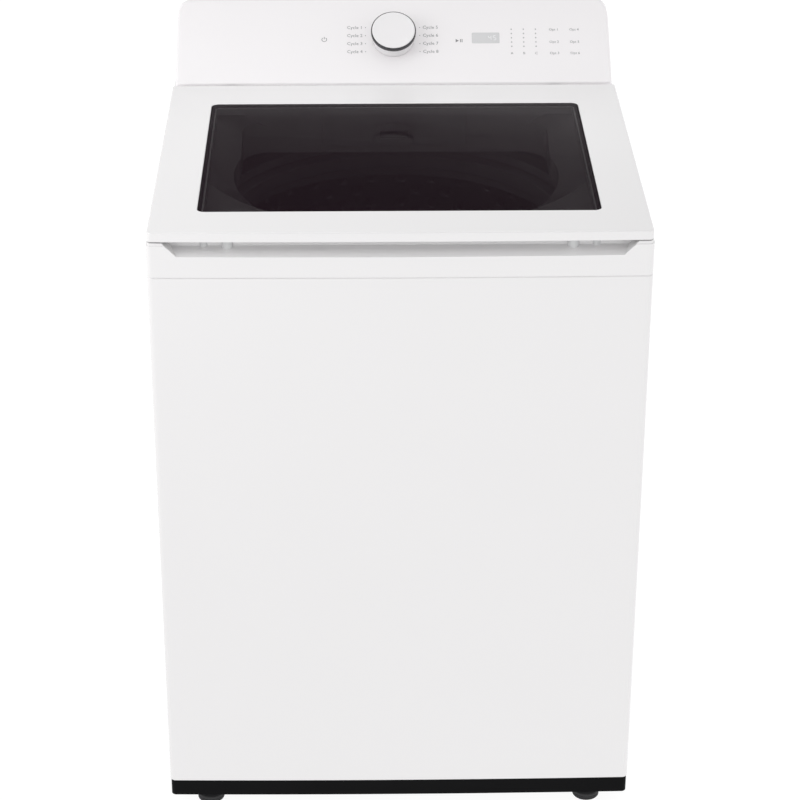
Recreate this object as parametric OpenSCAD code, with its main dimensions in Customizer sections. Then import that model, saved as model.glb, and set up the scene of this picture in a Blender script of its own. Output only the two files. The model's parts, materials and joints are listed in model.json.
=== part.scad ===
// Top load washing machine: cabinet, lid, console, suspended tub and direct drive.
// Frame: X to the right, Y to the back, Z up. Origin on the floor, under the middle of the machine.

/* [Cabinet] */
// Overall width
body_w = 686; // [680:1:696]
// Overall depth, from the crown of the front to the rear screw heads
body_d = 721; // [719:1:731]
// Overall height, from the floor to the top of the console
body_h = 1040; // [1036:1:1075]
// How far the front panel bows out between its two edges
crown_rise = 3; // [2:1:8]
// Radius of the cabinet's vertical corners
corner_r = 8; // [8:1:24]
// Thickness of the painted sheet
sheet_t = 1.2; // [1:0.1:1.5]

/* [Lid and console] */
// Height of the console above the lid's top face
console_rise = 92; // [88:1:96]
// Slope of the console's face from the horizontal, in degrees
console_slope = 37; // [36:0.5:39]
// Width of the glass in the lid
glass_w = 554; // [530:2:560]
// Depth of the glass in the lid
glass_d = 417; // [400:1:420]
// Diameter of the cycle knob's cap
knob_d = 70; // [60:1:72]

/* [Washing] */
// Radius of the round loading opening in the deck
well_r = 240; // [230:1:244]
// Outer radius of the fixed tub
tub_r = 305; // [300:1:306]
// Outer radius of the turning basket
basket_r = 276; // [268:1:280]
// Travel of the dispenser drawer that its tray leaves room for
drawer_travel = 120; // [100:1:120]

/* [Feet and connections] */
// Radius of a levelling foot's stud
foot_stud_r = 5; // [4:0.5:6]
// Outer radius of a water inlet's threaded port
inlet_r = 13.25; // [13:0.05:13.5]
// Outer radius of the drain outlet
drain_r = 15; // [13:0.5:16]

/* [Hidden] */

$fn = 96;

// Colours
white = "white";
inner_white = "gainsboro";
black = [0.09, 0.09, 0.09];
plastic_grey = "silver";
tub_grey = "lightgrey";
steel = [0.72, 0.73, 0.75];
zinc = [0.62, 0.64, 0.66];
cast_metal = [0.55, 0.57, 0.6];
rubber = [0.15, 0.15, 0.16];
copper = [0.75, 0.42, 0.2];
board_green = [0.1, 0.35, 0.2];
glass_tint = [0.16, 0.13, 0.15, 0.7];
display_grey = [0.75, 0.75, 0.76];

cut = 1; // how far a cutting shape runs past the face it opens
beyond = 400; // from the middle of the machine to a point outside its plan

// Plan of the cabinet
half_w = body_w / 2;
front_y = -body_d / 2;
screw_head_h = 2;
back_y = body_d / 2 - screw_head_h;
flat_front_y = front_y + crown_rise;
crown_half = half_w - corner_r;

// Levels, from the floor up
base_z0 = 29;
base_z1 = 55;
base_plate_t = 4;
lid_top_z = body_h - console_rise;
lid_t = 13.5;
lid_z = lid_top_z - lid_t;
deck_z = lid_z - 5.5;
cover_z = deck_z - 47;
cover_wall = 3;
seam_h = 1.5;
seam_depth = 1.2;

// Finger recess along the front of the deck: a ledge that rises to a wall under the lid
scoop_front_z = deck_z - 16;
scoop_slope = 1 / 3;
scoop_wall_y = front_y + 24;
scoop_half_low = half_w - 42;
scoop_half_high = half_w - 20;

// Rim that closes the gap under the lid, along the sides and at the front corners
rim_w = 13;
rim_z = lid_z - 1.5;

// Loading opening: round in front, with a straight back where the drawer is
well_back_y = 165;
well_half_w = well_r - 8;
well_corner_r = 40;
well_z = deck_z - 72;

// Dish in the deck round that opening; its slope is the radius gained for each mm of height
dish_z = deck_z - 40;
dish_slope = 1.5;

// Lid and its hinge
lid_side_gap = 1.5;
lid_skin = 3;
nose_r = 8.5;
hinge_y = 213;
hinge_z = lid_top_z - nose_r;
hinge_x = 250;
hinge_pin_r = 2.5;
hinge_lug_r = 4.9;
hinge_lug_w = 14;
glass_mid_y = -73.5;
glass_t = 4;
glass_rest_w = 5; // from the glass's edge to the wall that it rests on
glass_top_z = lid_top_z - 0.2;
inner_frame_z = deck_z + 4;
bumper_gap = 0.3;
bumpers = [[234, scoop_wall_y, 8], [266, scoop_wall_y + 2.5, 6]]; // x, y and radius of each

// Lid lock, under the deck at the front right
lock_y = -293;
lock_z = deck_z - 10;
strike_x = 230;
bolt_r = 3;

// Dispenser drawer behind the straight side of the opening
drawer_half = 103;
drawer_z0 = deck_z - 56;
drawer_z1 = deck_z - 8;
tray_back_y = well_back_y + drawer_travel + 15; // 15 mm of the tray stays in its housing
housing_back_y = tray_back_y + 10;
tray_wall = 2;
drawer_fascia_t = 6.2;
divider_x = 10;
spigots = [[-62, deck_z - 21], [-38, deck_z - 41]]; // x and height of the water inlets
spigot_y = housing_back_y + 12;
siphon_r = 9;
siphon_y = tray_back_y - 26;

// Console: a sloped face on a low front wall
console_half = half_w - 4.5;
console_y = 226.5;
console_back_y = back_y - 3;
console_wall = 3;
console_fillet = 9;
console_corner_r = 20;
fillet_z = body_h - console_fillet;
fillet_s = (fillet_z - lid_top_z + console_fillet * cos(console_slope)) / sin(console_slope);
fillet_y = console_y + fillet_s * cos(console_slope) + console_fillet * sin(console_slope);

// Places on the console's face: x, then the distance up the slope
knob_place = [0, 79.5];
knob_skirt_r = knob_d / 2 - 2.5;
knob_cap_r = knob_d / 2 - 1.5;
knob_cap_z = 19;
knob_top_z = 27;
knob_shaft_r = 3;
window_place = [144.5, 82];
window_size = [43, 20];
board_depth = 14;
board_place = [92, 80];
board_size = [414, 90, 1.6];
touch_places = [
    [-108, 80], [101, 77], [185, 54], [204, 54], [223, 54],
    [251, 97], [251, 74], [251, 53], [283, 97], [283, 74], [283, 53]
];

// Rear flanges of the wrapper, and the rear panel with its recessed middle
flange_w = 28;
screw_z = [110:185:850];
screw_hole_r = 2.2;
panel_y = back_y - sheet_t;
pan_y = panel_y - 14.3;
pan_w = 580;
pan_z0 = 100;
pan_z1 = cover_z - 26;

// Connections through the rear panel
inlet_z = cover_z - 51;
inlet_x = [-205, -145];
port_end_y = back_y + 1.5;
drain_place = [250, 300];
cord_place = [-250, 130];

// Drain pump and sump
sump_place = [205, 144];
pump_z = 100;
pump_r = 42;
pump_outlet_x = sump_place[0] + 57;
bellows_z0 = 150;
bellows_z1 = 205;
sump_r = 20;
hose_r = 9;

// Levelling feet
foot_x = half_w - 58;
foot_places = [
    [-foot_x, front_y + 40.5], [foot_x, front_y + 40.5],
    [-foot_x, back_y - 43.5], [foot_x, back_y - 43.5]
];
foot_pad_r = 20;
foot_top_z = 76;
stud_clearance = 0.3;

// Tub, basket and suspension
tub_wall = 3;
tub_z0 = 232;
tub_z1 = cover_z - 58;
tub_floor_t = 5;
rod_x = half_w - 55;
rod_y = 288;
rod_r = 4.5;
rod_foot_z = 198;
spring_z0 = 203;
spring_z1 = 292;
ear_z = 300;
ear_h = 30;
cup_bore_r = 5;
bracket_z = cover_z - 28;
bracket_t = 4;
ring_inner_r = 262;
basket_z0 = 262;
basket_z1 = cover_z - 84;
basket_wall = 1.5;

// Drive line
run_gap = 0.05; // radial clearance of a running fit
wash_shaft_r = 10;
spin_shaft_r = 17.5;
spin_shaft_z0 = 150;
housing_tube_r = 38;
bearing_r = 26;
bearing_w = 12;
bearing_places = [187, 225];
housing_top_z = 238;
flange_z = 222;
flange_r = 125;
stator_z0 = 130;
stator_z1 = 160;
stator_bore_r = 60;
yoke_r = 75;
pole_tip_r = 116;
pole_count = 36;
rotor_z0 = 108;
rotor_z1 = 164;
rotor_r = 128;
coupler_z0 = 155;
coupler_z1 = 181;
coupler_r = 30;
groove_r = 24;
groove_z0 = 170;
groove_z1 = 178;
lever_y = 112;
lever_z = 176;
lever_pin_r = 3;
impeller_r = 235;
impeller_z = 268;

// ---- Helpers ----

// Vertical extrusion of a plan between two levels
module slab(z0, z1) {
    translate([0, 0, z0]) linear_extrude(z1 - z0) children();
}

// Extrusion along Y of an outline drawn in X and Z
module upright(y0, y1) {
    translate([0, y1, 0]) rotate([90, 0, 0]) linear_extrude(y1 - y0) children();
}

// Extrusion along X of a profile drawn in Y and Z
module side_profile(x0, x1) {
    translate([x0, 0, 0]) rotate([90, 0, 90]) linear_extrude(x1 - x0) children();
}

module round_rect(w, d, r) {
    square([w - 2 * r, d], center = true);
    square([w, d - 2 * r], center = true);
    for (sx = [-1, 1], sy = [-1, 1])
        translate([sx * (w / 2 - r), sy * (d / 2 - r)]) circle(r = r);
}

module ring(outer_r, inner_r, z0, z1) {
    slab(z0, z1) difference() {
        circle(r = outer_r, $fn = 180);
        circle(r = inner_r, $fn = 180);
    }
}

module rod_x_axis(r, x0, x1) {
    translate([x0, 0, 0]) rotate([0, 90, 0]) cylinder(r = r, h = x1 - x0);
}

module rod_y_axis(r, y0, y1) {
    translate([0, y0, 0]) rotate([-90, 0, 0]) cylinder(r = r, h = y1 - y0);
}

module at_rods() {
    for (sx = [-1, 1], sy = [-1, 1]) translate([sx * rod_x, sy * rod_y, 0]) children();
}

module at_feet() {
    for (place = foot_places) translate([place[0], place[1], 0]) children();
}

// Children drawn flat on the console's face: X across, Y up the slope, Z out of the face
module on_console(place) {
    translate([place[0],
        console_y + place[1] * cos(console_slope),
        lid_top_z + place[1] * sin(console_slope)])
        rotate([console_slope, 0, 0]) children();
}

function arc(centre, r, from, to, steps = 8) =
    [for (i = [0:steps]) let (a = from + (to - from) * i / steps) centre + r * [cos(a), sin(a)]];

// Corners of the cabinet's plan, set in by a distance: a rounded rectangle with a crowned front
function footprint_points(inset) =
    let (
        r = corner_r - inset,
        y0 = flat_front_y + corner_r,
        y1 = back_y - corner_r,
        steps = 24
    )
    concat(
        [for (i = [1:steps - 1]) let (u = 2 * i / steps - 1)
            [u * crown_half, flat_front_y + inset - crown_rise * (1 - u * u)]],
        arc([crown_half, y0], r, -90, 0),
        arc([crown_half, y1], r, 0, 90),
        arc([-crown_half, y1], r, 90, 180),
        arc([-crown_half, y0], r, 180, 270)
    );

module footprint(inset = 0) {
    polygon(footprint_points(inset));
}

// ---- Swept tubes ----

function unit(v) = v / norm(v);

function bend(a, b, c, r, steps = 6) =
    let (p = b + unit(a - b) * r, q = b + unit(c - b) * r)
    [for (i = [0:steps]) let (t = i / steps) p * (1 - t) * (1 - t) + 2 * b * t * (1 - t) + q * t * t];

function rounded_path(points, r) = [
    points[0],
    for (i = [1:len(points) - 2]) each bend(points[i - 1], points[i], points[i + 1], r),
    points[len(points) - 1]
];

function tangent(path, i) = unit(path[min(i + 1, len(path) - 1)] - path[max(i - 1, 0)]);

// A solid round tube along a path; side_on is a direction that the path never runs along
module tube(path, r, side_on, sides = 10) {
    rings = len(path);
    points = [
        for (i = [0:rings - 1])
            let (t = tangent(path, i), u = unit(cross(t, side_on)), v = cross(u, t))
            for (k = [0:sides - 1])
                path[i] + r * cos(360 * k / sides) * u + r * sin(360 * k / sides) * v
    ];
    walls = [
        for (i = [0:rings - 2], k = [0:sides - 1])
            let (n = (k + 1) % sides)
            [i * sides + k, (i + 1) * sides + k, (i + 1) * sides + n, i * sides + n]
    ];
    start_cap = [for (k = [0:sides - 1]) k];
    end_cap = [for (k = [sides - 1:-1:0]) (rings - 1) * sides + k];
    polyhedron(points = points, faces = concat(walls, [start_cap, end_cap]), convexity = 10);
}

// ---- Cabinet ----

module at_rear_screws() {
    for (side = [-1, 1], z = screw_z)
        translate([side * (half_w - flange_w / 2), 0, z]) children();
}

module cabinet_wrapper() {
    color(white) difference() {
        slab(base_z1, cover_z) difference() {
            footprint(0);
            footprint(sheet_t);
        }
        // Opening between the two rear flanges
        translate([flange_w - half_w, back_y - 30, base_z1 - cut])
            cube([body_w - 2 * flange_w, 40, cover_z - base_z1 + 2 * cut]);
        at_rear_screws() rod_y_axis(screw_hole_r, back_y - 10, back_y + cut);
    }
}

module pan_outline(inset = 0) {
    translate([0, (pan_z0 + pan_z1) / 2])
        round_rect(pan_w - 2 * inset, pan_z1 - pan_z0 - 2 * inset, 12 - inset);
}

module rear_panel() {
    rim_z0 = base_z1 + 2;
    rim_z1 = cover_z - 3;
    color(plastic_grey) difference() {
        union() {
            upright(panel_y - sheet_t, panel_y) difference() {
                translate([0, (rim_z0 + rim_z1) / 2]) round_rect(body_w - 18, rim_z1 - rim_z0, 4);
                pan_outline();
            }
            upright(pan_y, panel_y) difference() {
                pan_outline();
                pan_outline(sheet_t);
            }
            upright(pan_y, pan_y + sheet_t) pan_outline(sheet_t / 2);
        }
        at_rear_screws() rod_y_axis(screw_hole_r, back_y - 10, back_y + cut);
        for (x = inlet_x) translate([x, 0, inlet_z])
            rod_y_axis(inlet_r + 1.5, pan_y - cut, back_y);
        translate([drain_place[0], 0, drain_place[1]])
            rod_y_axis(drain_r + 1.5, pan_y - cut, back_y);
        translate([cord_place[0], 0, cord_place[1]]) rod_y_axis(9, pan_y - cut, back_y);
    }
}

module cabinet_screws() {
    color(zinc) at_rear_screws() {
        difference() {
            rod_y_axis(2 * screw_hole_r, back_y, back_y + screw_head_h);
            for (turn = [0, 90]) rotate([0, turn, 0])
                translate([-2.4, back_y + 1, -0.5]) cube([4.8, 2, 1]);
        }
        rod_y_axis(2, back_y - 8, back_y);
    }
}

module base_frame() {
    color(black) difference() {
        union() {
            slab(base_z0, base_z1) difference() {
                footprint(1);
                footprint(5);
            }
            slab(base_z1 - base_plate_t, base_z1) difference() {
                footprint(1);
                circle(r = 190, $fn = 180);
            }
            ring(194, 190, base_z0 + 6, base_z1);
            at_feet() translate([0, 0, base_z0 + 6]) cylinder(r = 16, h = base_z1 - base_z0 - 8);
        }
        at_feet() translate([0, 0, base_z0]) cylinder(r = foot_stud_r + stud_clearance, h = 40);
    }
}

module levelling_foot(index) {
    color(rubber) translate([foot_places[index][0], foot_places[index][1], 0]) {
        cylinder(r1 = foot_pad_r - 1, r2 = foot_pad_r, h = 2);
        translate([0, 0, 2]) cylinder(r = foot_pad_r, h = 9);
        translate([0, 0, 11]) cylinder(r1 = foot_pad_r, r2 = 11, h = 4);
        translate([0, 0, 15]) cylinder(r = 9, h = 8, $fn = 6);
        translate([0, 0, 22]) cylinder(r = foot_stud_r, h = foot_top_z - 22);
    }
}

module levelling_foot_front_left() { levelling_foot(0); }
module levelling_foot_front_right() { levelling_foot(1); }
module levelling_foot_rear_left() { levelling_foot(2); }
module levelling_foot_rear_right() { levelling_foot(3); }

module foot_lock_nuts() {
    color(zinc) at_feet() translate([0, 0, base_z0]) difference() {
        cylinder(r = 9.5, h = 6, $fn = 6);
        translate([0, 0, -cut]) cylinder(r = foot_stud_r + stud_clearance, h = 6 + 2 * cut);
    }
}

module corner_brackets() {
    color(zinc) for (sx = [-1, 1], sy = [-1, 1]) difference() {
        slab(bracket_z, bracket_z + bracket_t) intersection() {
            footprint(sheet_t);
            translate([sx * rod_x, sy * rod_y]) square([2 * (half_w - rod_x), 100], center = true);
        }
        translate([sx * rod_x, sy * rod_y, bracket_z - cut])
            cylinder(r = rod_r + 1, h = bracket_t + 2 * cut);
    }
}

// ---- Top cover ----

// Plan of the loading opening, grown by a distance
module well_outline(grow = 0) {
    intersection() {
        circle(r = well_r + grow, $fn = 180);
        translate([-beyond, -beyond]) square([2 * beyond, beyond + well_back_y + grow]);
    }
    translate([0, well_back_y + grow - 100])
        round_rect(2 * (well_half_w + grow), 200, well_corner_r + grow);
}

// Space of the dish, grown downwards and outwards by a distance
module dish(grow = 0) {
    z0 = dish_z - grow;
    z1 = deck_z + (grow > 0 ? -cut : cut);
    r0 = well_r + grow;
    intersection() {
        translate([0, 0, z0])
            cylinder(r1 = r0, r2 = r0 + dish_slope * (z1 - z0), h = z1 - z0, $fn = 180);
        translate([-beyond, -beyond, z0 - cut])
            cube([2 * beyond, beyond + well_back_y + grow, z1 - z0 + 2 * cut]);
    }
}

// Height of the finger recess's ledge
function ledge_z(y) = scoop_front_z + scoop_slope * (y - front_y);

// Half width of the finger recess, which flares from its front edge up to the lid
function scoop_half(z) =
    let (share = (z - scoop_front_z) / (lid_z - scoop_front_z))
    scoop_half_low + (scoop_half_high - scoop_half_low) * share;

// Space of the finger recess, grown by a distance
module finger_scoop(grow = 0) {
    out_y = front_y - 10;
    wall_y = scoop_wall_y + grow;
    z0 = scoop_front_z - 12;
    z1 = deck_z + 20;
    x0 = scoop_half(z0) + grow;
    x1 = scoop_half(z1) + grow;
    intersection() {
        side_profile(-half_w, half_w) polygon([
            [out_y, ledge_z(out_y) - grow], [wall_y, ledge_z(wall_y) - grow], [wall_y, z1], [out_y, z1]
        ]);
        upright(out_y - cut, wall_y + cut) polygon([[-x0, z0], [x0, z0], [x1, z1], [-x1, z1]]);
    }
}

// Plan of the rim under the lid's edge; the finger recess cuts away the middle of its front
module rim_plan() {
    side_half = half_w - rim_w;
    rim_back_y = hinge_y - 18;
    difference() {
        footprint(lid_side_gap);
        translate([-side_half, scoop_wall_y]) square([2 * side_half, beyond - scoop_wall_y]);
        translate([-beyond, rim_back_y]) square([2 * beyond, beyond]);
    }
}

module top_cover() {
    color(white) difference() {
        union() {
            difference() {
                union() {
                    slab(cover_z, cover_z + seam_h) footprint(seam_depth);
                    slab(cover_z + seam_h, deck_z) footprint(0);
                    slab(deck_z - cut, rim_z) rim_plan();
                }
                finger_scoop();
                difference() {
                    slab(cover_z - cut, deck_z - cover_wall) footprint(2 * cover_wall);
                    finger_scoop(cover_wall);
                }
            }
            dish(cover_wall);
            slab(well_z, deck_z) well_outline(cover_wall);
        }
        dish();
        slab(well_z - cut, deck_z + cut) well_outline();
        // Hole for the drawer
        translate([-drawer_half - 1, well_back_y - 5, drawer_z0 - 1])
            cube([2 * drawer_half + 2, 12, drawer_z1 - drawer_z0 + 3.5]);
        // Slot for the lid's strike
        translate([strike_x - 8, lock_y - 13, deck_z - cover_wall - cut])
            cube([16, 26, cover_wall + 2 * cut]);
    }
}

// ---- Lid ----

module lid_plan(inset, back) {
    intersection() {
        footprint(lid_side_gap + inset);
        translate([-beyond, -beyond]) square([2 * beyond, beyond + back]);
    }
}

module glass_plan(grow = 0) {
    translate([0, glass_mid_y])
        round_rect(glass_w + 2 * grow, glass_d + 2 * grow, max(10 + grow, 2));
}

module lid_frame() {
    color(white) difference() {
        union() {
            slab(lid_z, lid_top_z) lid_plan(0, hinge_y);
            translate([0, hinge_y, hinge_z])
                rod_x_axis(nose_r, lid_side_gap - half_w, half_w - lid_side_gap);
        }
        slab(lid_z - cut, lid_top_z - lid_skin) lid_plan(lid_skin, hinge_y - 13);
        slab(lid_z - cut, lid_top_z + cut) glass_plan(0.3);
        // Room for the hinge lugs, under the top skin
        for (side = [-1, 1]) translate([side * hinge_x - 9, hinge_y - 18, deck_z])
            cube([18, 30, lid_top_z - lid_skin - deck_z]);
        translate([0, hinge_y, hinge_z]) for (side = [-1, 1])
            rod_x_axis(hinge_pin_r, side * hinge_x - 25, side * hinge_x + 25);
    }
}

module lid_glass() {
    color(glass_tint) slab(glass_top_z - glass_t, glass_top_z) glass_plan();
}

module lid_inner_frame() {
    top_z = glass_top_z - glass_t;
    color(inner_white) difference() {
        slab(inner_frame_z, top_z) translate([0, -60]) round_rect(636, 490, 14);
        slab(inner_frame_z - cut, top_z + cut) glass_plan(-glass_rest_w - 3);
        slab(inner_frame_z + 2.5, top_z + cut) difference() {
            translate([0, -60]) round_rect(630, 484, 11);
            glass_plan(-glass_rest_w);
        }
    }
}

module lid_hinge_pins() {
    color(steel) translate([0, hinge_y, hinge_z]) for (side = [-1, 1])
        rod_x_axis(hinge_pin_r, side * hinge_x - 25, side * hinge_x + 25);
}

module lid_hinge_brackets() {
    drop = hinge_z - deck_z;
    color(zinc) for (side = [-1, 1])
        side_profile(side * hinge_x - hinge_lug_w / 2, side * hinge_x + hinge_lug_w / 2)
            translate([hinge_y, hinge_z]) difference() {
                union() {
                    circle(r = hinge_lug_r);
                    polygon([[-4, -2], [1, -4], [-5, -drop], [-13, -drop]]);
                    translate([-17, -drop]) square([17, 2]);
                }
                circle(r = hinge_pin_r + run_gap);
            }
}

// Soft posts against the wall of the finger recess, up to the underside of the lid's skin
module lid_bumpers() {
    post_h = lid_top_z - lid_skin - bumper_gap - scoop_front_z;
    color(inner_white) intersection() {
        for (side = [-1, 1], post = bumpers)
            translate([side * post[0], post[1], scoop_front_z]) {
                cylinder(r = post[2], h = post_h - 1);
                translate([0, 0, post_h - 1]) cylinder(r1 = post[2], r2 = post[2] - 1, h = 1);
            }
        finger_scoop();
    }
}

module lid_strike() {
    color(zinc) difference() {
        union() {
            translate([strike_x - 2, lock_y - 7, lock_z - 8]) cube([4, 14, inner_frame_z - lock_z + 8]);
            translate([strike_x - 7, lock_y - 7, inner_frame_z - 2]) cube([14, 14, 2]);
        }
        translate([0, lock_y, lock_z]) rod_x_axis(bolt_r + 0.6, strike_x - 5, strike_x + 5);
    }
}

module lid_lock_housing() {
    color(black) difference() {
        translate([strike_x + 10, lock_y - 10, deck_z - 22]) cube([36, 20, 22 - cover_wall]);
        translate([0, lock_y, lock_z]) rod_x_axis(bolt_r + run_gap, strike_x + 5, strike_x + 42);
    }
}

module lid_lock_bolt() {
    color(steel) translate([0, lock_y, lock_z]) rod_x_axis(bolt_r, strike_x + 4, strike_x + 38);
}

// ---- Detergent dispenser ----

module dispenser_housing() {
    z0 = drawer_z0 - 4;
    z1 = deck_z - cover_wall;
    front = well_back_y + cover_wall;
    color(tub_grey) difference() {
        union() {
            translate([-drawer_half - 4, front, z0])
                cube([2 * drawer_half + 8, housing_back_y - front, z1 - z0]);
            for (spigot = spigots) translate([spigot[0], 0, spigot[1]])
                rod_y_axis(6.5, housing_back_y - cut, spigot_y);
        }
        translate([-drawer_half - 1, front - cut, z0 + 3])
            cube([2 * drawer_half + 2, housing_back_y - 3 - front + cut, drawer_z1 + 2.5 - z0 - 3]);
        for (spigot = spigots) translate([spigot[0], 0, spigot[1]])
            rod_y_axis(4.5, housing_back_y - 10, spigot_y + cut);
    }
}

module dispenser_drawer() {
    fascia_back = well_back_y - 0.3;
    fascia_front = fascia_back - drawer_fascia_t;
    inner_y = fascia_back + 3;
    inner_d = tray_back_y - tray_wall - inner_y;
    color(inner_white) difference() {
        union() {
            translate([-drawer_half, fascia_back - cut, drawer_z0])
                cube([2 * drawer_half, tray_back_y - fascia_back + cut, drawer_z1 - drawer_z0]);
            upright(fascia_front, fascia_back) translate([0, (drawer_z0 + drawer_z1) / 2])
                round_rect(2 * drawer_half + 14, drawer_z1 - drawer_z0 + 7, 5);
        }
        // Left and right compartments
        translate([tray_wall - drawer_half, inner_y, drawer_z0 + tray_wall])
            cube([drawer_half + divider_x - tray_wall, inner_d, 60]);
        translate([divider_x + tray_wall, inner_y, drawer_z0 + tray_wall])
            cube([drawer_half - divider_x - 2 * tray_wall, inner_d, 60]);
        // Grip pocket
        translate([-21, fascia_front - cut, drawer_z0 + 9]) cube([42, 5.5, 11]);
    }
}

module siphon_caps() {
    color(plastic_grey) for (x = [-45, 56]) translate([x, siphon_y, drawer_z0 + tray_wall]) {
        cylinder(r = siphon_r, h = 30);
        translate([0, 0, 30]) cylinder(r1 = siphon_r, r2 = siphon_r - 3, h = 4);
    }
}

// ---- Console ----

// Corners of the console's side profile, set in by a distance
function console_points(inset) =
    let (
        wall_y = console_y + inset,
        face_start = [console_y + inset * sin(console_slope), lid_top_z - inset * cos(console_slope)],
        along = (wall_y - face_start[0]) / cos(console_slope),
        r = console_fillet - inset,
        past = inset > 0 ? cut : 0
    )
    concat(
        [[wall_y, deck_z - past], [wall_y, face_start[1] + along * sin(console_slope)]],
        arc([fillet_y, fillet_z], r, 90 + console_slope, 90),
        [[console_back_y + past, fillet_z + r], [console_back_y + past, deck_z - past]]
    );

// Outline of the console seen from the front; only its two upper corners are used
module console_front(inset = 0) {
    height = 200;
    translate([0, body_h - height / 2])
        round_rect(2 * (console_half - inset), height - 2 * inset, console_corner_r - inset);
}

module console_solid(inset) {
    intersection() {
        side_profile(-console_half, console_half) polygon(console_points(inset));
        upright(console_y - 10, back_y) console_front(inset);
    }
}

module console_panel() {
    color(white) difference() {
        console_solid(0);
        console_solid(console_wall);
        on_console(knob_place) translate([0, 0, -10]) cylinder(r = 9, h = 20);
        on_console(window_place) slab(-5, 5) square(window_size, center = true);
    }
}

module console_rear_cover() {
    color(white) upright(console_back_y, back_y) intersection() {
        console_front();
        translate([-beyond, deck_z]) square([2 * beyond, body_h - deck_z]);
    }
}

module cycle_knob() {
    color(white) on_console(knob_place) {
        translate([0, 0, 0.5]) cylinder(r1 = knob_skirt_r, r2 = knob_skirt_r - 1, h = knob_cap_z);
        translate([0, 0, knob_cap_z]) cylinder(r = knob_cap_r, h = knob_top_z - knob_cap_z - 1);
        translate([0, 0, knob_top_z - 1]) cylinder(r1 = knob_cap_r, r2 = knob_cap_r - 1.5, h = 1);
        translate([0, 0, -board_depth - 6]) cylinder(r = knob_shaft_r, h = board_depth + 8);
    }
}

module knob_trim_ring() {
    color(steel) on_console(knob_place) ring(knob_d / 2, knob_cap_r, knob_cap_z, knob_top_z - 1);
}

module selector_encoder() {
    color(black) on_console(knob_place) difference() {
        union() {
            translate([-9, -9, -board_depth]) cube([18, 18, board_depth - console_wall]);
            translate([0, 0, -console_wall - cut]) cylinder(r = 6, h = console_wall + cut);
        }
        translate([0, 0, -board_depth - cut])
            cylinder(r = knob_shaft_r + run_gap, h = board_depth + 2 * cut);
    }
}

module display_window() {
    color(display_grey) on_console(window_place) slab(-2.5, 0) square(window_size, center = true);
}

module display_board() {
    color(board_green) difference() {
        union() {
            on_console(board_place)
                translate([-board_size[0] / 2, -board_size[1] / 2, -board_depth - board_size[2]])
                    cube(board_size);
            // Digit module behind the window
            on_console(window_place) translate([-20, -8.5, -board_depth - 0.5])
                cube([40, 17, board_depth - console_wall]);
            // Contact springs of the touch keys
            for (place = touch_places) on_console(place) translate([0, 0, -board_depth - 0.5])
                cylinder(r = 3, h = board_depth - console_wall + 0.5);
        }
        on_console(knob_place) translate([0, 0, -board_depth - 5]) cylinder(r = 5, h = 8);
    }
}

// An open box with the board in it, and a row of relays and of capacitors on the board
module control_board() {
    size = [160, 90, 10];
    wall = 2;
    color(board_green) translate([-300, 250, deck_z]) {
        difference() {
            cube(size);
            translate([wall, wall, 3]) cube(size - [2 * wall, 2 * wall, 0]);
        }
        translate([2 * wall, 2 * wall, 2]) cube([size[0] - 4 * wall, size[1] - 4 * wall, 3]);
        for (i = [0:4]) translate([10 + 28 * i, 50, 4]) cube([18, 24, 15]);
        for (i = [0:2]) translate([20 + 40 * i, 25, 4]) cylinder(r = 9, h = 17);
    }
}

// ---- Water inlet, drain and cord ----

module inlet_valve(x) {
    color(tub_grey) translate([x, 0, inlet_z]) difference() {
        union() {
            translate([-17, pan_y - 25, -19]) cube([34, 25, 38]);
            rod_y_axis(inlet_r, pan_y - cut, port_end_y);
            translate([0, pan_y - 13, -49]) cylinder(r = 12, h = 31);
            translate([0, pan_y - 18, 18]) cylinder(r = 6, h = 15);
        }
        rod_y_axis(9, pan_y - 10, port_end_y + cut);
    }
}

module inlet_valve_hot() { inlet_valve(inlet_x[0]); }
module inlet_valve_cold() { inlet_valve(inlet_x[1]); }

module inlet_hoses() {
    start_y = pan_y - 18;
    run_y = pan_y - 9;
    start_z = inlet_z + 33;
    color(rubber) for (i = [0, 1])
        let (x = inlet_x[i], end_x = spigots[i][0], run_z = spigots[i][1])
        tube(rounded_path([
            [x, start_y, start_z], [x, start_y, run_z - 5], [x + 6, run_y, run_z],
            [end_x, run_y, run_z], [end_x, spigot_y, run_z]
        ], 4.5), 6, [1, 1, 1]);
}

module pump_body() {
    chamber_y0 = sump_place[1] - 22;
    chamber_y1 = sump_place[1] + 22;
    outlet = pump_outlet_x - sump_place[0];
    color(tub_grey) translate([sump_place[0], 0, pump_z]) difference() {
        union() {
            rod_y_axis(pump_r, chamber_y0, chamber_y1);
            rod_y_axis(30, chamber_y1 - cut, chamber_y1 + 60);
            translate([0, sump_place[1], 0]) cylinder(r = sump_r, h = bellows_z0 - pump_z);
            translate([0, sump_place[1], 0]) rod_x_axis(hose_r + 1, 0, outlet);
            translate([-32, chamber_y0 + 4, base_z1 - pump_z]) cube([64, 36, 20]);
            translate([-20, chamber_y1 + 20, base_z1 - pump_z]) cube([40, 25, 20]);
        }
        rod_y_axis(pump_r - 5, chamber_y0 + 4, chamber_y1 - 4);
        rod_y_axis(3 + run_gap, chamber_y1 - 10, chamber_y1 + 30);
        translate([0, sump_place[1], 0]) cylinder(r = sump_r - 3.5, h = bellows_z0 - pump_z + cut);
        translate([0, sump_place[1], 0]) rod_x_axis(hose_r - 3, 0, outlet + cut);
    }
}

module pump_impeller() {
    y0 = sump_place[1] - 13;
    color(black) translate([sump_place[0], 0, pump_z]) {
        rod_y_axis(28, y0, y0 + 3);
        rod_y_axis(7, y0, y0 + 24);
        rod_y_axis(3, y0 + 23, y0 + 60);
        for (turn = [0:60:300]) rotate([0, turn, 0]) translate([5, y0 + 2, -1]) cube([22, 18, 2]);
    }
}

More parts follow.
